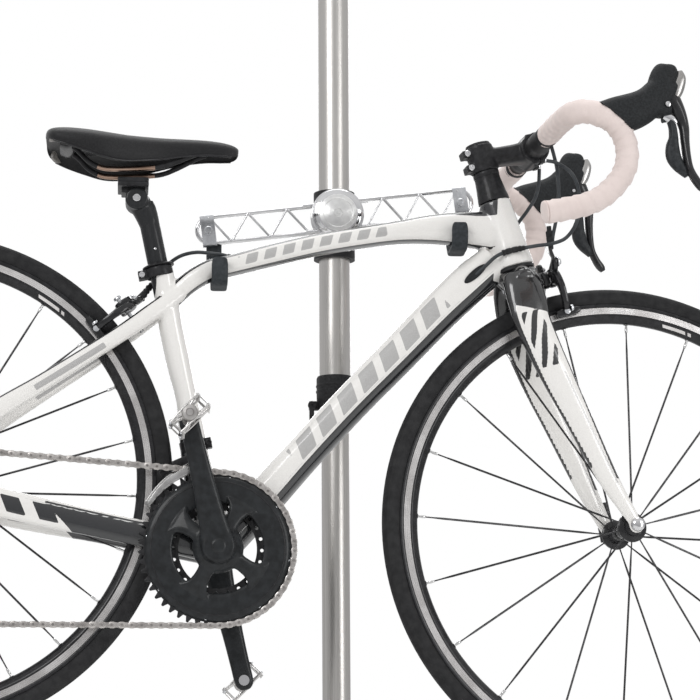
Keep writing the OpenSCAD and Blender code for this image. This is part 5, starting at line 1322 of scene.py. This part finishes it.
add("crank_left_cap", together(lathe([(0, 78.2), (4, 78.2), (4.4, 76.8), (6, 76.8), (6.4, 78.4),
    (10.8, 78.0),
                                      (11.6, 76.6), (11.6, 74), (0, 74)], 40, "y"),
                               *[moved(bolt_head(3, 2.4, 0),
                               Matrix.Translation((x, 69.5, -13)) @ Matrix.Rotation(
                                   pi / 2, 4, "X")) for x in (-18.5, )]), left, satin_black, "crank")
for s, place, hand in ((1, crank, "right"), (-1, left, "left")):
    add("pedal_axle_" + hand, together(
        lathe([(7.2, -s * 61.5), (7.2, -s * 75.4), (8.8, -s * 75.8), (8.8, -s * 77.2), (6, -s * 77.8),
        (5.4, -s * 80),
               (4.8, -s * 84), (4.8, -s * 125)], 32, "y", at=(170, 0, 0)),
        lathe([(0, -s * 61.2), (3, -s * 61.2), (3, -s * 60.6), (7, -s * 60.6), (7.2, -s * 62),
        (0, -s * 62)], 24, "y",
              at=(170, 0, 0))), place, chrome, "crank")


# ---- Chain -------------------------------------------------------------------
# A narrow eleven-speed steel chain, nickel plated, of pinned inner and outer
# link plates. It runs over the sprocket and outer ring and the two pulleys.
pulley_high, pulley_low, pulley_r = (-392.0, -7.5), (-376.0, -101.5), 12.7 / 2 / sin(pi / 11)
stops = [((-400.0, 67.5), 12.7 / 2 / sin(pi / 20), -1), ((0.0, 0.0), big_r, -1), (pulley_low, pulley_r, -1),
         (pulley_high, pulley_r, 1)]


def leaving(p, q):
    gap = (q[0][0] - p[0][0], q[0][1] - p[0][1])
    return atan2(gap[1], gap[0]) + asin(-(q[2] * q[1] - p[2] * p[1]) / hypot(*gap))


line = []
for i, q in enumerate(stops):
    a0, a1 = leaving(stops[i - 1], q), leaving(q, stops[(i + 1) % 4])
    d = (a1 - a0) % (2 * pi) if q[2] > 0 else -((a0 - a1) % (2 * pi))
    line += [(q[0][0] + q[1] * q[2] * sin(a0 + d * k / 24), q[0][1] - q[1] * q[2] * cos(a0 + d * k / 24))
             for k in range(25)]
line = np.array(line + [line[0]])
run = np.concatenate([[0], np.cumsum(np.linalg.norm(np.diff(line, axis=0), axis=1))])
links = 2 * round(run[-1] / 25.4)
marks = np.linspace(0, run[-1], links + 1)
joints = [Vector((np.interp(m, run, line[:, 0]), np.interp(m, run, line[:, 1]))) for m in marks]
plates, rollers = [], []
for i in range(links):
    a, b = joints[i], joints[i + 1]
    d = (b - a).normalized()
    n2, mid, long = Vector((-d.y, d.x)), (a + b) / 2, (b - a).length
    outline = []
    for k in range(28):
        t = 2 * pi * k / 28
        u = cos(t) * (long / 2 + 4.1)
        w = 4.15 if abs(u) > long * 0.34 else 3.2 + 0.95 * (abs(u) / (long * 0.34)) ** 2
        v = copysign(min(w, sqrt(max(4.15 ** 2 - max(abs(u) - long / 2, 0) ** 2, 0.02))),
            sin(t)) if abs(sin(t)) > 1e-6 else 0
        outline.append(mid + d * u + n2 * v)
    inner = i % 2
    for y0, y1 in (((1.25, 2.05), (-2.05, -1.25)) if inner else ((2.1, 2.85), (-2.85, -2.1))):
        rings = [[(mid.x + (p.x - mid.x) * f, -42 + y, mid.y + (p.y - mid.y) * f) for p in outline]
                 for y, f in ((y0, 0.96), (y0 + 0.12, 1), (y1 - 0.12, 1), (y1, 0.96))]
        plates.append(skin(rings))
    rollers.append(lathe([(0, -3.2), (1.5, -3.15), (1.8, -2.9), (1.8, -1.2), (3.8, -1.2), (3.8, 1.2),
        (1.8, 1.2),
                          (1.8, 2.9), (1.5, 3.15), (0, 3.2)], 14, "y", at=(a.x, -42, a.y)))
nickel = finish("nickel_links", (0.38, 0.36, 0.345), (0.56, 0.535, 0.515), 0.30, metal=1.0, grain=70,
    bump=0.15)
pin_steel = finish("pin_steel", (0.24, 0.225, 0.215), (0.36, 0.34, 0.33), 0.34, metal=1.0, grain=90,
    bump=0.1)
add("chain_links", together(*plates), bike, nickel, "frame", ["chain"])
add("chain_rollers", together(*rollers), bike, pin_steel, "frame")


# ---- Derailleurs -------------------------------------------------------------
# The front derailleur is a forged band mount with a pressed steel cage round
# the chain. The rear one is a jointed alloy body with a sprung pulley cage.
def sector(r0, r1, a0, a1, n=16):
    return ([(r0 * cos(radians(a)), r0 * sin(radians(a))) for a in np.linspace(a0, a1, n)]
            + [(r1 * cos(radians(a)), r1 * sin(radians(a))) for a in np.linspace(a1, a0, n)])


def blade(r0, wide, tip, a0=104, a1=152, n=20):
    """A cage side that narrows towards its tail."""
    return [(r0 * cos(a), r0 * sin(a)) for a in np.radians(np.linspace(a0, a1, n))] + [
        ((r0 + wide + (tip - wide) * f) * cos(a), (r0 + wide + (tip - wide) * f) * sin(a))
        for f, a in zip(np.linspace(1, 0, n), np.radians(np.linspace(a1, a0, n)))]


steel_cage = finish("cage_steel", (0.34, 0.335, 0.33), (0.52, 0.515, 0.51), 0.22, metal=1.0, grain=60,
    bump=0.08)
r = big_r + 5
add("front_cage", together(
    plate([blade(r - 1, 12, 4.5)], 1.2, 0.3, -48.2), plate([blade(r - 1, 17, 8)], 1.2, 0.3, -36.2),
    plate([sector(r + 9.4, r + 11, 105, 111)], 11.4, 0.3, -42.2),
    plate([sector(r + 1.9, r + 3.4, 148.5, 151)], 11.4, 0.3, -42.2)), bike, steel_cage, "front_derailleur",
    ["front_derailleur"])
add("front_mech_body", together(
    plate([sector(r + 5, r + 25, 107, 122)], 8, 1.6, -31.6),
    plate([sector(r + 14, r + 23, 108, 131)], 5, 1.4, -28),
    lathe([(3.4, -38), (3.4, -24)], 20, "y", at=((r + 10) * cos(radians(113)), 0,
    (r + 10) * sin(radians(113)))),
    lathe([(3.4, -38), (3.4, -24)], 20, "y", at=((r + 19) * cos(radians(118)), 0,
    (r + 19) * sin(radians(118))))),
    bike, satin_black, "front_derailleur", bevel=0.3)
add("front_mech_band", moved(together(
    lathe([(16.2, -8), (18.4, -8), (18.4, 8), (16.2, 8)], 56, loop=True), block((15, -12, -7), (24, 2, 7)),
    moved(bolt_head(4.4, 3, -12), Matrix.Translation((20, 0, 0)))),
    Matrix.Translation((-40.5, 0, 139)) @ Matrix.Rotation(radians(-15.5), 4, "Y")), bike, satin_black,
    "frame", bevel=0.6)
add("front_mech_arm", sweep(curve_through([(-46, -14, 148), (-50, -24, 146), (-51, -30, 138)], 5), 4.6, 20),
    bike,
    satin_black, "frame")
hang = (-406, 37.5)
rear_body = together(
    lathe([(0, -72.4), (9.6, -72.4), (10, -73.5), (10, -84), (8.6, -86), (0, -86)], 40, "y",
    at=(hang[0], 0, hang[1])),
    loft([[hang[0], -79, hang[1], 8.5, 6.5], [hang[0] - 3, -79, hang[1] - 14, 8, 7],
          [hang[0] - 2, -77, hang[1] - 24, 7, 7]], 4, 24, 2.6),
    loft([[hang[0] - 4, -76, hang[1] - 16, 8.5, 8.5], [-405, -68, 7, 7.5, 8.5], [-400, -61, -6, 9, 8]], 5,
    24, 2.8),
    lathe([(0, -50.2), (11, -50.2), (12, -52), (12, -64), (10, -67), (0, -67)], 40, "y",
    at=(-399.5, 0, -7.5)))
add_skin("rear_mech_body", fused(rear_body, 1.5, 5), bike, satin_black, "frame", ["rear_derailleur"])
add("rear_mech_bolts", together(
    bolt_head(6, 1.6, -86, hang), bolt_head(3.4, 1.6, -80, (hang[0] - 4, hang[1] - 20)),
    bolt_head(4, 1.2, -67, (-399.5, -7.5)),
    lathe([(2, -72), (2, -60), (3.8, -60), (4.2, -52), (2, -52)], 20, "y", loop=True, at=(-412, 0, 14))),
    bike, zinc, "frame")


def link_plate(a, b, ra, rb, waist, y, thick, holes=()):
    """A cage side between two pulley centres, waisted between them."""
    a, b = Vector(a), Vector(b)
    d = (b - a).normalized()
    n2, pts = Vector((-d.y, d.x)), []
    for k in range(13):
        t = -pi / 2 + pi * k / 12
        pts.append(b + (d * cos(t) + n2 * sin(t)) * rb)
    for f in (0.75, 0.5, 0.25):
        pts.append(a.lerp(b, f) + n2 * waist)
    for k in range(13):
        t = pi / 2 + pi * k / 12
        pts.append(a + (d * cos(t) + n2 * sin(t)) * ra)
    for f in (0.25, 0.5, 0.75):
        pts.append(a.lerp(b, f) - n2 * waist)
    return plate([[tuple(p) for p in pts]] + [circle(rr, 24, tuple(a.lerp(b, f))) for f, rr in holes],
        thick, 0.3, y)


add("pulley_cage", together(
    link_plate(pulley_high, pulley_low, 11, 9.5, 6.5, -48.0, 1.6, ((0.36, 3.4), (0.62, 3.4))),
    link_plate(pulley_high, pulley_low, 10, 9.5, 6.5, -36.4, 1.6, ((0.3, 4), (0.5, 4), (0.7, 4))),
    *[lathe([(2.6, -36), (2.6, -48)], 16, "y", at=(p[0], 0, p[1])) for p in (pulley_high, pulley_low)],
    *[bolt_head(3.6, 1.4, -48.8, p) for p in (pulley_high, pulley_low)]), bike, satin_black,
    "derailleur_cage",
    ["derailleur_cage"])
pulley_solids = []
for p in (pulley_high, pulley_low):
    teeth = [(p[0] + x, p[1] + z) for x, z in tooth_line(11, 2.0, -4.0)]
    pulley_solids += [plate([teeth] + [circle(2.2, 14, (p[0] + 11.5 * cos(a), p[1] + 11.5 * sin(a)))
                                 for a in [2 * pi * k / 5 for k in range(5)]], 2.2, 0.3, -42),
                lathe([(0, -38.2), (6.4, -38.2), (7, -39), (7, -45), (6.4, -45.8), (0, -45.8)], 28, "y",
                at=(p[0], 0, p[1]))]
add("guide_pulleys", together(*pulley_solids), bike, moulding, "derailleur_cage")


# ---- Pedals ------------------------------------------------------------------
# Cage pedals: bent and toothed chromed steel plates screwed to an alloy barrel
# that turns on the spindle, closed by a round aluminium dust cap.
pedal_silver = finish("pedal_alloy", (0.50, 0.49, 0.48), (0.68, 0.67, 0.66), 0.22, metal=1.0, grain=40,
    bump=0.12)
cap_alloy = finish("dust_cap_alloy", (0.42, 0.405, 0.395), (0.56, 0.545, 0.53), 0.32, metal=1.0, grain=60,
    bump=0.12)
for s, hand in ((1, "right"), (-1, "left")):
    place = crank @ Matrix.Translation((s * 0.170, -s * 0.078, 0)) @ Matrix.Rotation(radians(107.3), 4, "Y")
    if s < 0:
        place = place @ Matrix.Diagonal((1, -1, 1, 1))
    place = place @ Matrix.Rotation(radians(-50), 4, "Y")
    barrel = lathe([(5.3, -6.5), (8.6, -6.5), (9.4, -8), (9.6, -13), (8.2, -17), (7.4, -30), (8.4, -44),
        (10.2, -49),
                    (10.4, -52), (5.3, -52)], 48, "y", loop=True)
    spokes = []
    for y in (-11, -47):
        for x in (-1, 1):
            for z in (-1, 1):
                spokes.append(loft([[x * 5, y, z * 5.6, 2.4, 2.6], [x * 14, y, z * 8.6, 1.9, 2.2],
                    [x * 25, y, z * 9.6, 2.3, 2.6]],
                                   4, 16, 2.8))
    walls = []
    for x in (-1, 1):
        n_teeth = 7
        top_edge = []
        for k in range(n_teeth):
            y = -54 + 46 * k / (n_teeth - 1)
            top_edge += [(y - 2.3, 11.2), (y - 1.3, 14.0), (y + 1.3, 14.0), (y + 2.3, 11.2)]
        edge_line = top_edge + [(p[0], -p[1]) for p in top_edge[::-1]]
        slot = [(-49, 6.2), (-14, 6.2), (-12.5, 4.6), (-12.5, -4.6), (-14, -6.2), (-49, -6.2),
            (-50.5, -4.6), (-50.5, 4.6)]
        flat = plate([edge_line, slot], 1.5, 0.25, 0)
        pts = [(x * (26.2 - 0.0016 * v[2] ** 2 * 8) + v[1], v[0], v[2]) for v in flat[0]]
        walls.append((pts, flat[1]))
    frames = []
    for y in (-56.6, -7.2):
        for z in (-1, 1):
            frames.append(sweep(curve_through([(-26, y, z * 9), (-16, y - 0.8, z * 9.8),
                (0, y - 1.2, z * 10.4),
                                               (16, y - 0.8, z * 9.8), (26, y, z * 9)], 4), 1.15, 10))
    add("pedal_cage_" + hand, together(*walls, *frames, *spokes), place, pedal_silver, hand + "_pedal",
        [hand + "_pedal"])
    add("pedal_barrel_" + hand, barrel, place, cap_alloy, hand + "_pedal")
    add("pedal_dust_cap_" + hand, together(
        lathe([(0, -61.8), (4.4, -61.8), (5.0, -61.2), (5.6, -61.8), (9.2, -61.2), (10.6, -59.6), (11, -57),
        (10.6, -52),
               (0, -52)], 48, "y")), place, cap_alloy, hand + "_pedal")
    rivets = []
    for x in (-1, 1):
        for y in (-11, -47):
            for z in (-1, 1):
                rivets.append(lathe([(0, x * 27.6), (1.6, x * 27.4), (2.2, x * 26.6), (2.2, x * 25),
                    (0, x * 25)], 14, "x",
                                    at=(0, y, z * 9.2)))
    add("pedal_rivets_" + hand, together(*rivets), place, zinc, hand + "_pedal")


# ---- Cables ------------------------------------------------------------------
# Steel-lined plastic housings: two gear cables from the bar to ports beside the
# head tube, one brake cable to each caliper.
housing = finish("housing_grey", (0.036, 0.040, 0.044), (0.060, 0.065, 0.070), 0.38, grain=55, bump=0.12)
ferrule_black = finish("ferrule_black", (0.010, 0.010, 0.011), (0.020, 0.020, 0.021), 0.3, coat=0.2,
    grain=100, bump=0.1)


routes = {
    "gear_housing_right": [[410, -48, 560], [424, -54, 556], [444, -59, 541], [455, -61, 512],
    [454, -58, 478],
                           [442, -50, 455], [424, -42, 446.5], [405, -36, 443.5], [386, -31.5, 439.5],
                           [371, -30, 435.6], [356.5, -28.5, 430], [347, -26.5, 423.5], [338, -24.5, 414],
                           [329, -22, 405], [321, -20, 397]],
    "gear_housing_left": [[412, 34, 570], [412, 34, 548], [408, 33, 528], [397, 33, 507], [386, 32.5, 490],
                          [376, 32, 470], [364, 30.5, 450], [352, 28, 432], [342, 25.5, 418],
                          [332, 23, 406],
                          [322, 20, 396]]}
for name, route in routes.items():
    line, _ = even(curve_through(route, 8), 3.0)
    shape = sweep(line, 2.5, 16)
    piece = add(name, shape, bike, housing, None)
    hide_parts("rear_cables")
    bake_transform(piece)
inline = curve_through([[388, -31.8, 440], [371, -30, 435.6], [358, -28.7, 430.6]], 6)
add("inline_adjuster", sweep(even(inline, 1.5)[0], lambda i, a: 4.3 if 3 < i < 24 and i % 6 else 3.4, 24),
    bike,
    ferrule_black, "frame", crease=30)
rear_route = [[-4, 0, 400.5], [-18, 3, 405], [-35, 7, 407], [-56, 14, 408.5], [-76, 22, 404],
    [-92, 25.5, 392],
              [-105, 24, 374], [-112, 17, 361], [-117, 10, 352], [-121, 4, 344], [-124, 0, 338]]
line, _ = even(curve_through(rear_route, 8), 3.0)
add("rear_brake_housing", sweep(line, 2.5, 16), bike, housing, "frame")
add("top_tube_stop", loft([[8, 0, 398, 5.5, 6], [0, 0, 399.5, 5.5, 6], [-8, 1, 402, 4, 4.5],
    [-13, 2, 403.5, 3.6, 4]],
    4, 20, 2.6), bike, ferrule_black, "frame")
boot = curve_through([[-113, 16, 358], [-117, 10, 352], [-121, 4, 344], [-125, -1, 335]], 8)
add("rear_cable_boot", sweep(even(boot, 1.5)[0], lambda i, a: 3.3 + 1.5 * (0.5 + 0.5 * cos(i * 1.25)), 24),
    bike,
    rubber, "frame", crease=70)
front_route = [[80, -62, 528], [80, -61, 512], [79, -60, 495], [75, -56, 470], [70, -47, 446],
    [64, -36, 428],
               [59, -27, 414], [56, -23, 404]]
line, _ = even(curve_through(front_route, 8), 3.0)
add("front_brake_housing", sweep(line, 2.5, 16), fork, housing, "fork", ["front_cables"])
